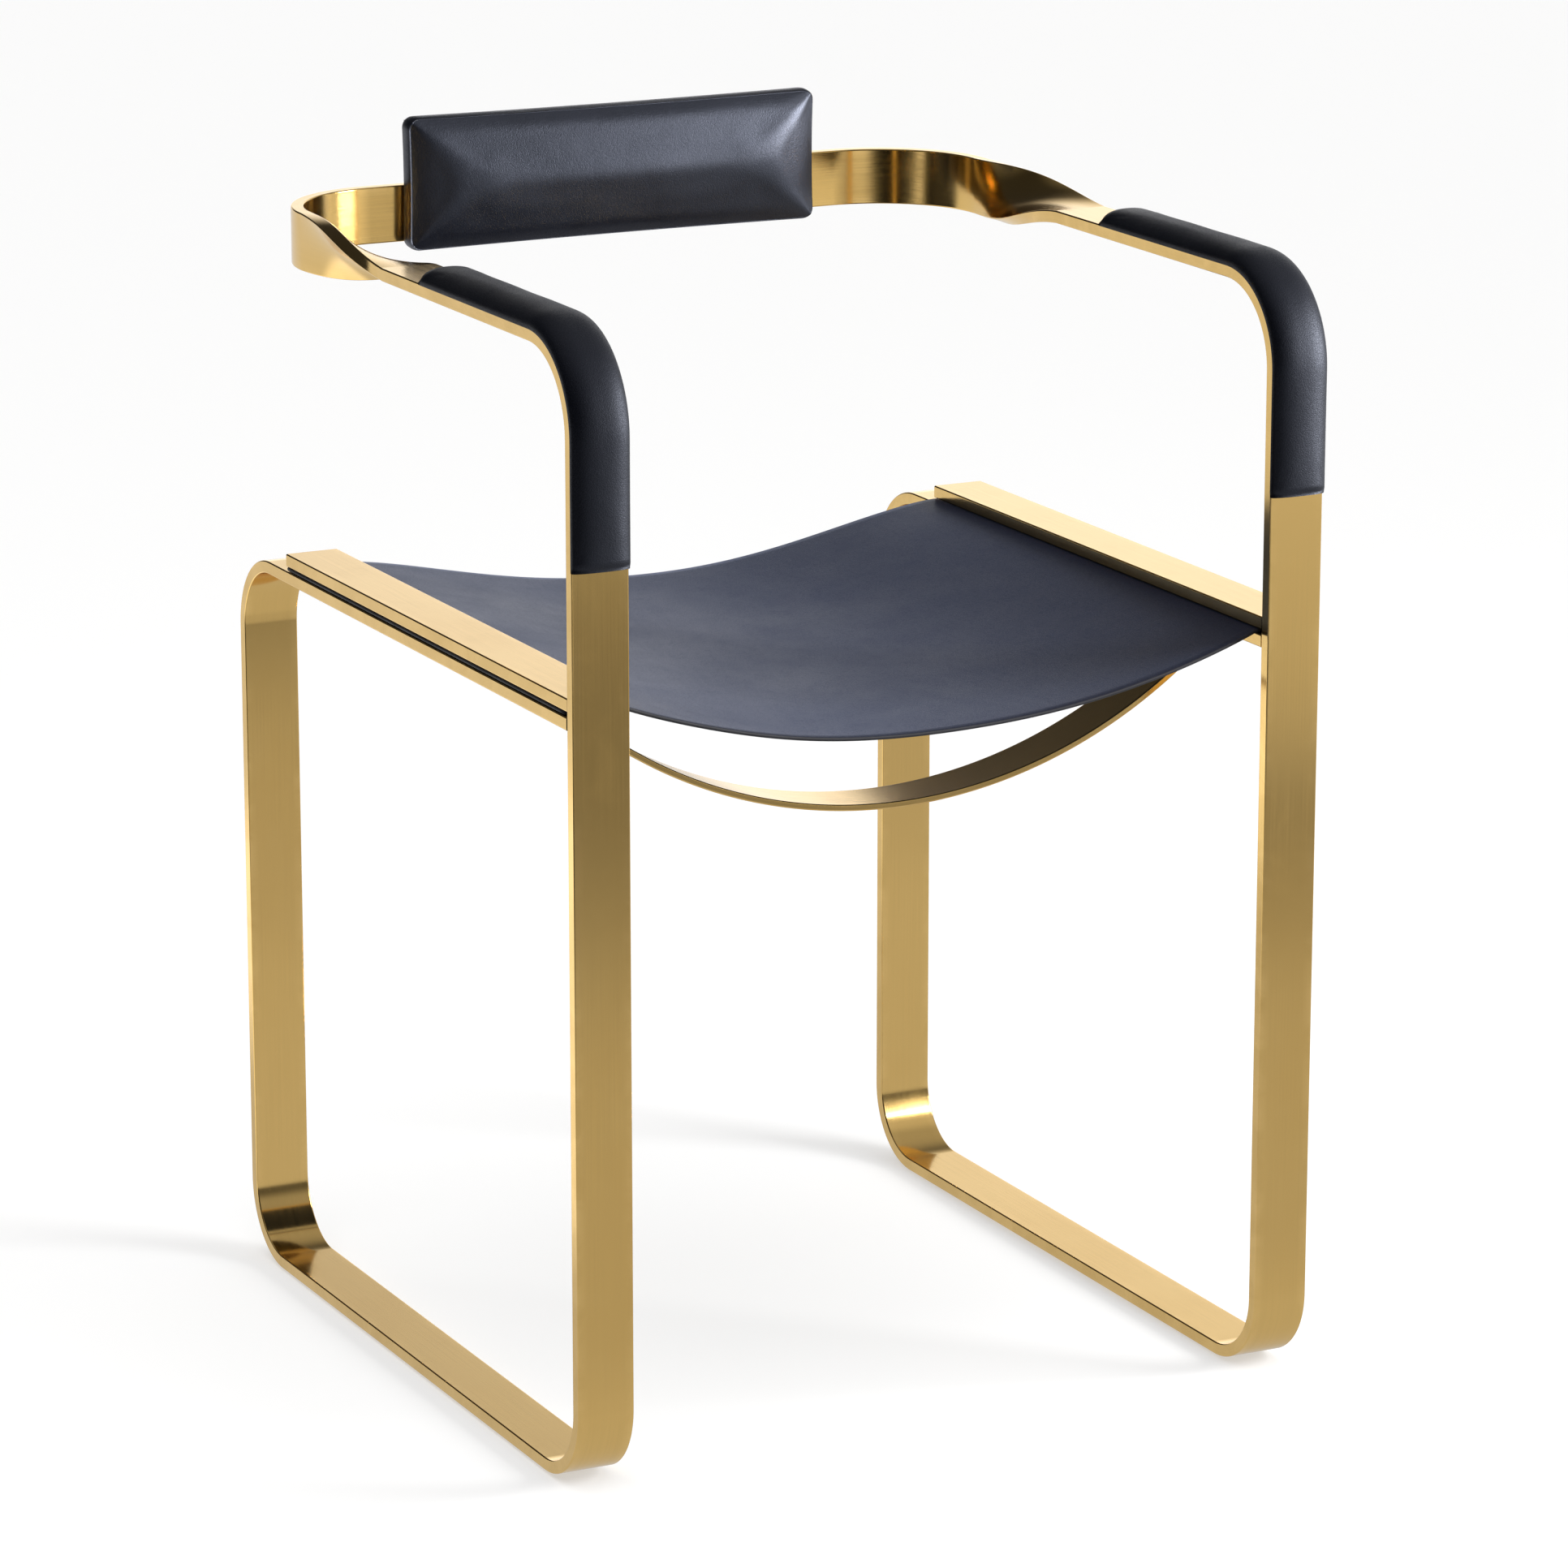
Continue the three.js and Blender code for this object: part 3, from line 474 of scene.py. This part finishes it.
def hide_mesh():
    """A thin closed sheet: top and bottom grids, joined by a rounded edge of three strips."""
    nx, ny = len(xs), len(ys)
    grid = np.array([[(x, y, hide_surface(x, y)) for x in xs] for y in ys])
    dx, dy = np.gradient(grid, axis=1), np.gradient(grid, axis=0)
    up = np.cross(dx, dy)
    up /= np.linalg.norm(up, axis=2, keepdims=True)
    top, bottom = grid + up * HIDE / 2, grid - up * HIDE / 2
    border = [(0, i) for i in range(nx)] + [(j, nx - 1) for j in range(1, ny)]
    border += [(ny - 1, i) for i in range(nx - 2, -1, -1)] + [(j, 0) for j in range(ny - 2, 0, -1)]
    points = [*top.reshape(-1, 3), *bottom.reshape(-1, 3)]
    faces, marks = [], []
    for j in range(ny - 1):
        for i in range(nx - 1):
            a = j * nx + i
            faces.append((a, a + 1, a + nx + 1, a + nx))
            faces.append(tuple(q + nx * ny for q in (a, a + nx, a + nx + 1, a + 1)))
            marks += [0, 0]
    ring = []
    for j, i in border:
        out = np.array([(i == nx - 1) - (i == 0), (j == ny - 1) - (j == 0), 0.0])
        out /= np.linalg.norm(out)
        g, u = grid[j, i], up[j, i]
        ring.append([g + u * HIDE * 0.30 + out * 0.45, g - u * HIDE * 0.30 + out * 0.45])
    base = len(points)
    points += [p for pair in ring for p in pair]
    m = len(border)
    for q in range(m):
        s = (q + 1) % m
        (j0, i0), (j1, i1) = border[q], border[s]
        t0, t1 = j0 * nx + i0, j1 * nx + i1
        a0, a1, b0, b1 = base + 2 * q, base + 2 * s, base + 2 * q + 1, base + 2 * s + 1
        faces += [(t0, a0, a1, t1), (a0, b0, b1, a1), (b0, t0 + nx * ny, t1 + nx * ny, b1)]
        marks += [1, 1, 1]
    return points, faces, marks


points, faces, marks = hide_mesh()
hide = make_object("seat_hide", metres(points), faces, [NAVY, CUT_EDGE])
hide.data.polygons.foreach_set("material_index", marks)
fix_winding(hide.data)
front_run = sum(math.hypot(xs[i + 1] - xs[i], hide_surface(xs[i + 1], 220) - hide_surface(xs[i], 220))
                for i in range(len(xs) - 1))
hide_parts("seat_leather")

# Padding


def swell(points, faces, held, pressure, cap, passes=0):
    """A cover's points blown out as cloth, held at its seams, evened and moved by at most cap."""
    points = np.asarray(points, float)
    mesh = bpy.data.meshes.new("cloth")
    mesh.from_pydata([tuple(p) for p in metres(points)], [], faces)
    fix_winding(mesh)
    o = bpy.data.objects.new("cloth", mesh)
    scene = bpy.context.scene
    scene.collection.objects.link(o)
    group = o.vertex_groups.new(name="held")
    for i, weight in enumerate(held):
        group.add([i], float(weight), "REPLACE")
    cloth = o.modifiers.new("fill", "CLOTH")
    settings = cloth.settings
    settings.quality = 5
    settings.tension_stiffness = settings.compression_stiffness = 15
    settings.shear_stiffness = 5
    settings.bending_stiffness = 0.5
    settings.use_pressure = True
    settings.uniform_pressure_force = pressure
    settings.effector_weights.gravity = 0
    settings.vertex_group_mass = "held"
    cloth.point_cache.frame_start, cloth.point_cache.frame_end = 1, 20
    for step in range(1, 21):
        scene.frame_set(step)
    blown = o.evaluated_get(bpy.context.evaluated_depsgraph_get()).to_mesh()
    move = (np.array([v.co for v in blown.vertices]) - metres(points)) / MM
    scene.frame_set(1)
    bpy.data.objects.remove(o)
    ends = np.array([e.vertices[:] for e in mesh.edges])
    share = 1.0 / np.maximum(np.bincount(ends.ravel(), minlength=len(points)), 1)[:, None]
    for _ in range(passes):
        total = np.zeros_like(move)
        np.add.at(total, ends[:, 0], move[ends[:, 1]])
        np.add.at(total, ends[:, 1], move[ends[:, 0]])
        move = 0.5 * move + 0.5 * total * share
    move = move * (1.0 - np.asarray(held)[:, None])
    length = np.linalg.norm(move, axis=1)
    return points + move * np.minimum(1.0, cap / np.maximum(length, 1e-9))[:, None]


# Arm pads
ARM_PAD_REAR, ARM_PAD_FOOT = 213.0, RUNNER_Z + 554.5
PAD_SIDE, PAD_LIP, PAD_RISE = 18.3, 0.9, 8.9
FACE_STEPS = 34


def arm_path(side):
    """Stations under the arm pad from its rear end to its foot, thickness pointing down and back."""
    r = ARM_R - THICK / 2
    bend_y, bend_z = ARM_R, ARM_MID + THICK / 2 - ARM_R
    path = [(y, ARM_MID, -math.pi / 2) for y in np.linspace(ARM_PAD_REAR, bend_y, 46)]
    for a in np.linspace(0, math.pi / 2, 34)[1:]:
        path.append((bend_y - r * math.sin(a), bend_z + r * math.cos(a), a - math.pi / 2))
    path += [(THICK / 2, z, 0.0) for z in np.linspace(bend_z, ARM_PAD_FOOT, 24)[1:]]
    C = np.array([(side * MID_X, y, z) for y, z, _ in path])
    T = np.array([(0, math.cos(t), math.sin(t)) for _, _, t in path])
    return C, T


def arm_cover(side, prefix):
    """A D-shaped pad on the bar: lips on the bar's sides, a full round face, a tapered rear end."""
    C, T = arm_path(side)
    run = np.r_[0, np.cumsum(np.linalg.norm(np.diff(C, axis=0), axis=1))]
    total = run[-1]
    lip, skin = THICK / 2 - PAD_LIP, THICK / 2 + 0.12
    points, faces = [], []
    for c, t, s in zip(C, T, run):
        rear = math.sqrt(1 - (1 - min(1.0, s / 5.0)) ** 2)
        foot = math.sqrt(1 - (1 - min(1.0, (total - s) / 4.0)) ** 2)
        high = PAD_RISE * (0.35 + 0.65 * rear) * (0.5 + 0.5 * foot)
        leg = ease(min(1.0, max(0.0, (s - 150) / 90)))
        high *= 1 - 0.2 * leg - 0.05 * max(0.0, (s - 240) / (total - 240))
        high += 0.10 * math.sin(s / 9.0) * rear
        half = PAD_SIDE - 0.15 * (1 - rear) - 0.1 * (1 - foot)
        outline = [(half - 0.1, lip), (half - 0.03, lip + 0.1), (half, lip + 0.3),
                   (half, THICK / 2 - 0.1)]
        for a in np.linspace(0, math.pi, FACE_STEPS + 1):
            u = math.cos(a)
            rise = (1 - abs(u) ** 2.5) ** 0.5
            outline.append((half * u, THICK / 2 + 0.6 * rear + high * rise))
        outline += [(-u, v) for u, v in outline[3::-1]]
        outline += [(-BAR / 2 - 0.08, skin), (BAR / 2 + 0.08, skin)]
        count = len(outline)
        points += [c + np.array([u, 0, 0]) - t * v for u, v in outline]
    n = len(C)
    for k in range(n - 1):
        for i in range(count):
            j = (i + 1) % count
            faces.append((k * count + i, k * count + j, (k + 1) * count + j, (k + 1) * count + i))
    faces += [tuple(range(count)), tuple((n - 1) * count + i for i in reversed(range(count)))]
    face = [max(0.0, 1 - 4 * math.sin(math.pi * q / FACE_STEPS)) for q in range(FACE_STEPS + 1)]
    edge = [1.0] * 4 + face + [1.0] * 6
    ends = np.repeat([max(0.0, 1 - min(s, total - s) / 6) for s in run], count)
    points = swell(points, faces, np.clip(np.tile(edge, n) + ends, 0, 1), pressure=10.0, cap=0.8)
    cover = make_object(prefix + "arm_pad", metres(points), faces, NAVY_ARM_SHADED)
    fix_winding(cover.data)
    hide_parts(prefix + "arm_pad_cover", prefix + "arm_pad_foam")


for side, prefix in ((-1, "left_"), (1, "right_")):
    arm_cover(side, prefix)

# Back pad
PAD_W, PAD_H, PAD_EDGE, PAD_CROWN = 284.0, 83.5, 13.0, 13.0
PAD_BACK = BACK_Y - THICK / 2 - GAP
PAD_MID = BACK_MID + 19.8


def pad_height(u, v):
    """How far the face stands before the bar: slopes from the seam that meet near the corners."""
    du, dv = PAD_W / 2 - abs(u), PAD_H / 2 - abs(v)
    soft = 1.0 + 0.4 * max(0.0, min(du, dv))
    near = min(du, dv) - max(0.0, soft - abs(du - dv)) ** 2 / (4 * soft)
    t = min(1.0, max(0.0, near) / (PAD_H / 2))
    slopes = 0.85 * (1 - (1 - t) ** 1.9) + 0.15 * (1 - (1 - t) ** 6)
    crown = 1 - (2 * u / PAD_W) ** 2
    corner = math.hypot(du, dv)
    fade = math.exp(-corner / 10.0) * min(1, corner / 4)
    pucker = 0.22 * math.sin(9 * math.atan2(dv, du + 1e-6)) * fade
    return PAD_EDGE + PAD_CROWN * (0.76 * slopes + 0.22 * crown * (0.2 + 0.8 * slopes)) + pucker


def back_pad():
    nu, nv = 141, 47
    us, vs = (np.sin(np.linspace(-q, q, count)) / math.sin(q) * size / 2
              for q, count, size in ((0.36 * math.pi, nu, PAD_W), (0.40 * math.pi, nv, PAD_H)))
    points, faces, marks = [], [], []

    def drawn(u, v):
        """The sides draw in a little between the corners."""
        du = 0.9 * (1 - (2 * v / PAD_H) ** 2) * (2 * u / PAD_W) ** 2 * np.sign(u)
        dv = 0.9 * (1 - (2 * u / PAD_W) ** 2) * (2 * v / PAD_H) ** 2 * np.sign(v)
        return u - du, v - dv

    def round_corner(u, v, r=7.0):
        cu, cv = PAD_W / 2 - r, PAD_H / 2 - r
        if abs(u) > cu and abs(v) > cv:
            a, b = abs(u) - cu, abs(v) - cv
            m = max(a, b) / max(math.hypot(a, b), 1e-9)
            return math.copysign(cu + a * m, u), math.copysign(cv + b * m, v)
        return u, v

    for v in vs:
        for u in us:
            x, z = drawn(*round_corner(u, v))
            points.append((x, PAD_BACK - pad_height(*round_corner(u, v)), PAD_MID + z))
    border = [(0, i) for i in range(nu)] + [(j, nu - 1) for j in range(1, nv)]
    border += [(nv - 1, i) for i in range(nu - 2, -1, -1)] + [(j, 0) for j in range(nv - 2, 0, -1)]
    for j in range(nv - 1):
        for i in range(nu - 1):
            a = j * nu + i
            faces.append((a, a + 1, a + nu + 1, a + nu))
            marks.append(0)
    rows = [[j * nu + i for j, i in border]]
    # Depth from the back, step outwards and material of each ring of the sides and the back
    walls = ((12.2, 0.45, 0), (11.0, 0.75, 0), (9.0, 0.9, 0), (6.5, 0.85, 0), (4.0, 0.6, 0),
             (2.0, 0.2, 0), (0.9, -0.3, 0), (0.25, -1.1, 0), (0.02, -2.2, 0), (0.02, -10.0, 0),
             (0.15, -10.6, 0), (0.9, -10.8, 1), (0.8, -13.0, 1))
    for depth, out, _ in walls:
        row = []
        for j, i in border:
            u, v = round_corner(us[i], vs[j])
            x, z = drawn(u, v)
            su = math.copysign(1, u) if i in (0, nu - 1) else 0
            sv = math.copysign(1, v) if j in (0, nv - 1) else 0
            if out < -2:
                x = math.copysign(min(abs(x), PAD_W / 2 + out), x)
                z = math.copysign(min(abs(z), PAD_H / 2 + out), z)
            else:
                k = 1 / math.sqrt(2) if su and sv else 1
                x, z = x + su * out * k, z + sv * out * k
            row.append(len(points))
            points.append((x, PAD_BACK - depth, PAD_MID + z))
        rows.append(row)
    m = len(border)
    for (a, b), (_, _, mark) in zip(zip(rows, rows[1:]), walls):
        for q in range(m):
            s = (q + 1) % m
            faces.append((a[q], a[s], b[s], b[q]))
            marks.append(mark)
    faces.append(tuple(rows[-1]))
    marks.append(1)
    sheet = nu * nv + 6 * m
    held = np.ones(sheet)
    for k, (v, u) in enumerate((v, u) for v in vs for u in us):
        du, dv = PAD_W / 2 - abs(u), PAD_H / 2 - abs(v)
        crease = max(0.0, 1 - abs(du - dv) / 3) * (du < PAD_H / 2)
        held[k] = min(1.0, max(0.0, 1 - min(du, dv) / 6) + 0.35 * crease)
    sewn = [f for f in faces if max(f) < sheet]
    blown = swell(points[:sheet], sewn, held, pressure=1.5, cap=2.0, passes=16)
    points = [*blown, *points[sheet:]]
    pad = make_object("back_pad", metres(points), faces, [NAVY_PAD_SHADED, LINING])
    pad.data.polygons.foreach_set("material_index", marks)
    fix_winding(pad.data)
    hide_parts("back_pad_cover", "back_pad_foam", "back_pad_board")


back_pad()

# Screws: one turned screw of each kind, set out in a row by Geometry Nodes
SHANK_R, HEAD_R, SOCKET = 2.5, 4.8, 1.5
SCREW_SIDES = 36


def turned_screw(name, profile):
    """A screw along +Z from rings of radius, height and hex; its first and last rings close it."""
    points, faces = [], []
    for radius, height, hexagon in profile:
        for i in range(SCREW_SIDES):
            a = 2 * math.pi * i / SCREW_SIDES
            flat = math.cos((a + math.pi / 6) % (math.pi / 3) - math.pi / 6) if hexagon else 1.0
            points.append((radius / flat * math.cos(a), radius / flat * math.sin(a), height))
    for r in range(len(profile) - 1):
        for i in range(SCREW_SIDES):
            j = (i + 1) % SCREW_SIDES
            a, b = r * SCREW_SIDES, (r + 1) * SCREW_SIDES
            faces.append((a + i, b + i, b + j, a + j))
    last_ring = range(len(points) - SCREW_SIDES, len(points))
    faces += [tuple(range(SCREW_SIDES)), tuple(reversed(last_ring))]
    mesh = bpy.data.meshes.new(name)
    mesh.from_pydata([tuple(MM * c for c in p) for p in points], [], faces)
    fix_winding(mesh)
    return bpy.data.objects.new(name, mesh)


def row_tree():
    """A row of copies: where it starts, the step, how many, how each is turned, and its finish."""
    tree = bpy.data.node_groups.new("screw_row", "GeometryNodeTree")
    sockets = {}
    for name, kind in (("Geometry", "Geometry"), ("Count", "Int"), ("Start", "Vector"),
                       ("Step", "Vector"), ("Turn", "Vector"), ("Finish", "Material")):
        item = tree.interface.new_socket(name, in_out="INPUT", socket_type="NodeSocket" + kind)
        sockets[name] = item.identifier
    tree.interface.new_socket("Geometry", in_out="OUTPUT", socket_type="NodeSocketGeometry")
    given, made = tree.nodes.new("NodeGroupInput"), tree.nodes.new("NodeGroupOutput")
    line = tree.nodes.new("GeometryNodeMeshLine")
    line.mode = "OFFSET"
    copies = tree.nodes.new("GeometryNodeInstanceOnPoints")
    real = tree.nodes.new("GeometryNodeRealizeInstances")
    finish = tree.nodes.new("GeometryNodeSetMaterial")
    for source, target in (("Count", line.inputs["Count"]), ("Start", line.inputs["Start Location"]),
                           ("Step", line.inputs["Offset"]), ("Geometry", copies.inputs["Instance"]),
                           ("Turn", copies.inputs["Rotation"]), ("Finish", finish.inputs["Material"])):
        tree.links.new(given.outputs[source], target)
    for source, target in ((line.outputs["Mesh"], copies.inputs["Points"]),
                           (copies.outputs["Instances"], real.inputs["Geometry"]),
                           (real.outputs["Geometry"], finish.inputs["Geometry"]),
                           (finish.outputs["Geometry"], made.inputs["Geometry"])):
        tree.links.new(source, target)
    return tree, sockets


ROW_TREE, ROW_SOCKETS = row_tree()


def screw_row(name, screw, count, start, step, turn, replaced):
    """The screw repeated along a row, as one plain mesh."""
    maker = bpy.data.objects.new(name + "_row", screw.data)
    bpy.context.scene.collection.objects.link(maker)
    row = maker.modifiers.new("row", "NODES")
    row.node_group = ROW_TREE
    values = {"Count": count, "Start": [float(c) for c in metres(start)], "Turn": turn, "Finish": STEEL,
              "Step": [c * MM for c in step]}
    for key, value in values.items():
        row[ROW_SOCKETS[key]] = value
    graph = bpy.context.evaluated_depsgraph_get()
    mesh = bpy.data.meshes.new_from_object(maker.evaluated_get(graph), depsgraph=graph)
    bpy.data.objects.remove(maker)
    o = bpy.data.objects.new(name, mesh)
    mesh.name = name
    bpy.context.scene.collection.objects.link(o)
    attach(o, ROOT)
    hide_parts(*replaced)


CLAMP_TIP = THICK + 2 * GAP + HIDE + 5.0
flush_screw = turned_screw("flush_screw", (
    (SOCKET, 1.6, True), (SOCKET, 0.0, True), (SOCKET + 0.12, -0.12, True),
    (HEAD_R - 0.3, -0.12, False), (HEAD_R - 0.05, 0.0, False), (HEAD_R - 0.05, 0.1, False),
    (SHANK_R, 2.5, False),
    (SHANK_R, CLAMP_TIP - 0.6, False), (SHANK_R - 0.6, CLAMP_TIP, False)))
button_screw = turned_screw("button_screw", (
    (SOCKET, -1.2, True), (SOCKET, -2.7, True), (SOCKET + 0.12, -2.8, True), (2.5, -2.8, False),
    (3.4, -2.66, False), (4.2, -2.2, False), (4.65, -1.55, False), (HEAD_R, -1.0, False),
    (HEAD_R, -0.15, False), (HEAD_R - 0.1, -0.02, False), (SHANK_R, -0.02, False),
    (SHANK_R, 13.7, False), (SHANK_R - 0.6, 14.3, False)))
first, last = SEAT_FRONT + 24.0, SEAT_REAR - 24.0
for side, prefix in ((-1, "left_"), (1, "right_")):
    screw_row(prefix + "clamp_screws", flush_screw, 4, (side * MID_X, first, RAIL_Z),
              (0, (last - first) / 3, 0), (0.0, 0.0, 0.0),
              [f"{prefix}clamp_screw_{i}" for i in range(1, 5)])
screw_row("back_pad_screws", button_screw, 4, (-99.0, BACK_Y + THICK / 2, BACK_MID), (66.0, 0, 0),
          (math.pi / 2, 0.0, 0.0), [f"back_pad_screw_{i}" for i in range(1, 5)])

# The glides stay as the part has them
for name, o in NODES.items():
    if "glide" in name:
        o.data.materials.clear()
        o.data.materials.append(NYLON)

# Floor, light and camera


def stage_floor():
    """White to the camera. Metal doesn't show that white but grey levels, fitted to the
    tones of the photo for its camera alone. With 1.0 as image's strength, metal shows the white."""
    mesh = bpy.data.meshes.new("floor")
    mesh.from_pydata([(-9, -9, 0), (9, -9, 0), (9, 9, 0), (-9, 9, 0)], [], [(0, 1, 2, 3)])
    o = bpy.data.objects.new("floor", mesh)
    bpy.context.scene.collection.objects.link(o)
    m = bpy.data.materials.new("floor")
    m.use_nodes = True
    net = Net(m.node_tree)
    camera_ray = net.node("ShaderNodeLightPath", output=0)
    mirrored = net.node("ShaderNodeLightPath", output=3)
    place = object_place(net)
    split = net.node("ShaderNodeSeparateXYZ", (place,)).out.node
    x, y = Sock(net, split.outputs[0]), Sock(net, split.outputs[1])
    # Painted reflections: to mirror rays the floor glows with these grey levels. Among them are a bright
    # stripe and dark patches, which stand in for the light and shade of a room around the chair.
    level = y.ramp(-1.65, -0.95, 0.24, 0.53)
    level = level + y.ramp(-2.34, -2.22, 0.5, 0.0) * x.ramp(-1.6, -0.8) * x.ramp(0.4, 0.7, 1.0, 0.0)
    level = level + x.ramp(0.6, 1.2, 0.0, 0.42) * y.ramp(-1.7, -1.35, 1.0, 0.0)
    level = level - x.ramp(0.4, 0.75, 0.0, 0.07) * y.ramp(-1.1, -0.95, 1.0, 0.0)
    level = level + y.ramp(-0.5, -0.35, 0.0, 0.06) + y.ramp(0.5, 1.2, 0.0, 0.18)
    level = level + x.ramp(1.5, 2.0, 0.0, 0.26) * y.ramp(-3.0, -2.6, 1.0, 0.0)
    level = level + x.ramp(1.2, 2.2, 0.0, 0.30) * y.ramp(-1.6, -0.8)
    level = level + x.ramp(-0.50, -0.36, 0.58, 0.0) * y.ramp(0.0, 0.25) * y.ramp(1.1, 1.5, 1.0, 0.0)
    across = (y + x * 0.9).ramp(-1.2, -0.35, 0.97, 0.0) * x.ramp(-1.6, -0.6, 1.0, 0.0)
    level = level * (1.0 - across)
    stripe = x.ramp(-1.9, -1.5, 0.85, 0.0) * y.ramp(-1.6, -1.3) * y.ramp(-0.98, -0.7, 1.0, 0.0)
    level = level + stripe
    tone = net.mix(camera_ray, (0.40, 0.40, 0.40), (0.93, 0.93, 0.93))
    matt = net.node("ShaderNodeBsdfDiffuse", {"Color": tone})
    paper = net.node("ShaderNodeEmission", {"Color": (1, 1, 1), "Strength": 1.0})
    both = net.node("ShaderNodeMixShader", (camera_ray * 0.5, matt, paper))
    # The painted reflections: this glow is seen only by mirror rays, so the floor acts as a light where
    # no lamp is.
    image = net.node("ShaderNodeEmission", {"Color": (1, 1, 1), "Strength": level})
    both = net.node("ShaderNodeMixShader", (mirrored, both, image))
    net.node("ShaderNodeOutputMaterial", {"Surface": both})
    mesh.materials.append(m)


def area(name, place, aim, size, watts):
    data = bpy.data.lights.new(name, "AREA")
    data.shape = "RECTANGLE"
    data.size, data.size_y = size
    data.energy = watts
    o = bpy.data.objects.new(name, data)
    o.location = place
    o.rotation_euler = (Vector(aim) - Vector(place)).to_track_quat("-Z", "Y").to_euler()
    bpy.context.scene.collection.objects.link(o)


def sky(name, aim, strength, angle):
    """Broad even light from far away, which lights cloth and floor but makes no spot in the metal."""
    data = bpy.data.lights.new(name, "SUN")
    data.energy = strength
    data.angle = angle
    o = bpy.data.objects.new(name, data)
    o.rotation_euler = Vector(aim).to_track_quat("-Z", "Y").to_euler()
    o.visible_glossy = False
    bpy.context.scene.collection.objects.link(o)


def stage_world():
    """White to the camera. Metal and the light on the chair get levels fitted as the floor's are."""
    world = bpy.data.worlds.new("studio")
    bpy.context.scene.world = world
    world.use_nodes = True
    net = Net(world.node_tree)
    camera_ray = net.node("ShaderNodeLightPath", output=0)
    way = net.node("ShaderNodeTexCoord", output=0)
    split = net.node("ShaderNodeSeparateXYZ", (way,)).out.node
    x, y, z = (Sock(net, out) for out in split.outputs)
    wall = y.ramp(0.15, 0.85) * ((0.43 - x) * 0.8 + z).ramp(0.1, 0.62, 1.24, 0.0)
    wall = wall * x.ramp(0.42, 0.56, 1.0, 0.84)
    side = x.ramp(0.1, 0.9, 0.03, 0.36) + (0.0 - x).ramp(0.5, 1.0, 0.0, 0.3) * y.ramp(0.3, 0.8)
    top = z.ramp(0.6, 0.95, 0.0, 0.28)
    front = x.ramp(0.12, 0.4) * (0.0 - y).ramp(0.1, 0.45) * z.ramp(0.12, 0.4, 0.0, 0.26)
    light = wall + side + top + front
    ambient = net.node("ShaderNodeBackground", {"Color": (1.0, 0.99, 0.97), "Strength": light})
    white = net.node("ShaderNodeBackground", {"Color": (1, 1, 1), "Strength": 1.0})
    both = net.node("ShaderNodeMixShader", (camera_ray, ambient, white))
    net.node("ShaderNodeOutputWorld", {"Surface": both})


stage_floor()
stage_world()
area("right_softbox", (1.42, -0.98, 0.90), (0.05, 0, 0.72), (0.68, 0.95), 41)
sky("overhead", (0.15, 0.25, -1.0), 2.4, 1.4)

camera = bpy.data.cameras.new("camera")
camera.sensor_width = 36.0
camera.lens = 148.58
view = bpy.data.objects.new("camera", camera)
axes = Matrix(((0.89476, -0.44655, 0.00011), (0.11319, 0.22703, 0.96729), (-0.43197, -0.86548, 0.25369)))
view.matrix_world = Matrix.Translation((-1.7316, -3.4933, 1.3689)) @ axes.transposed().to_4x4()
bpy.context.scene.collection.objects.link(view)
bpy.context.scene.camera = view
bpy.context.scene.view_settings.view_transform = "Standard"
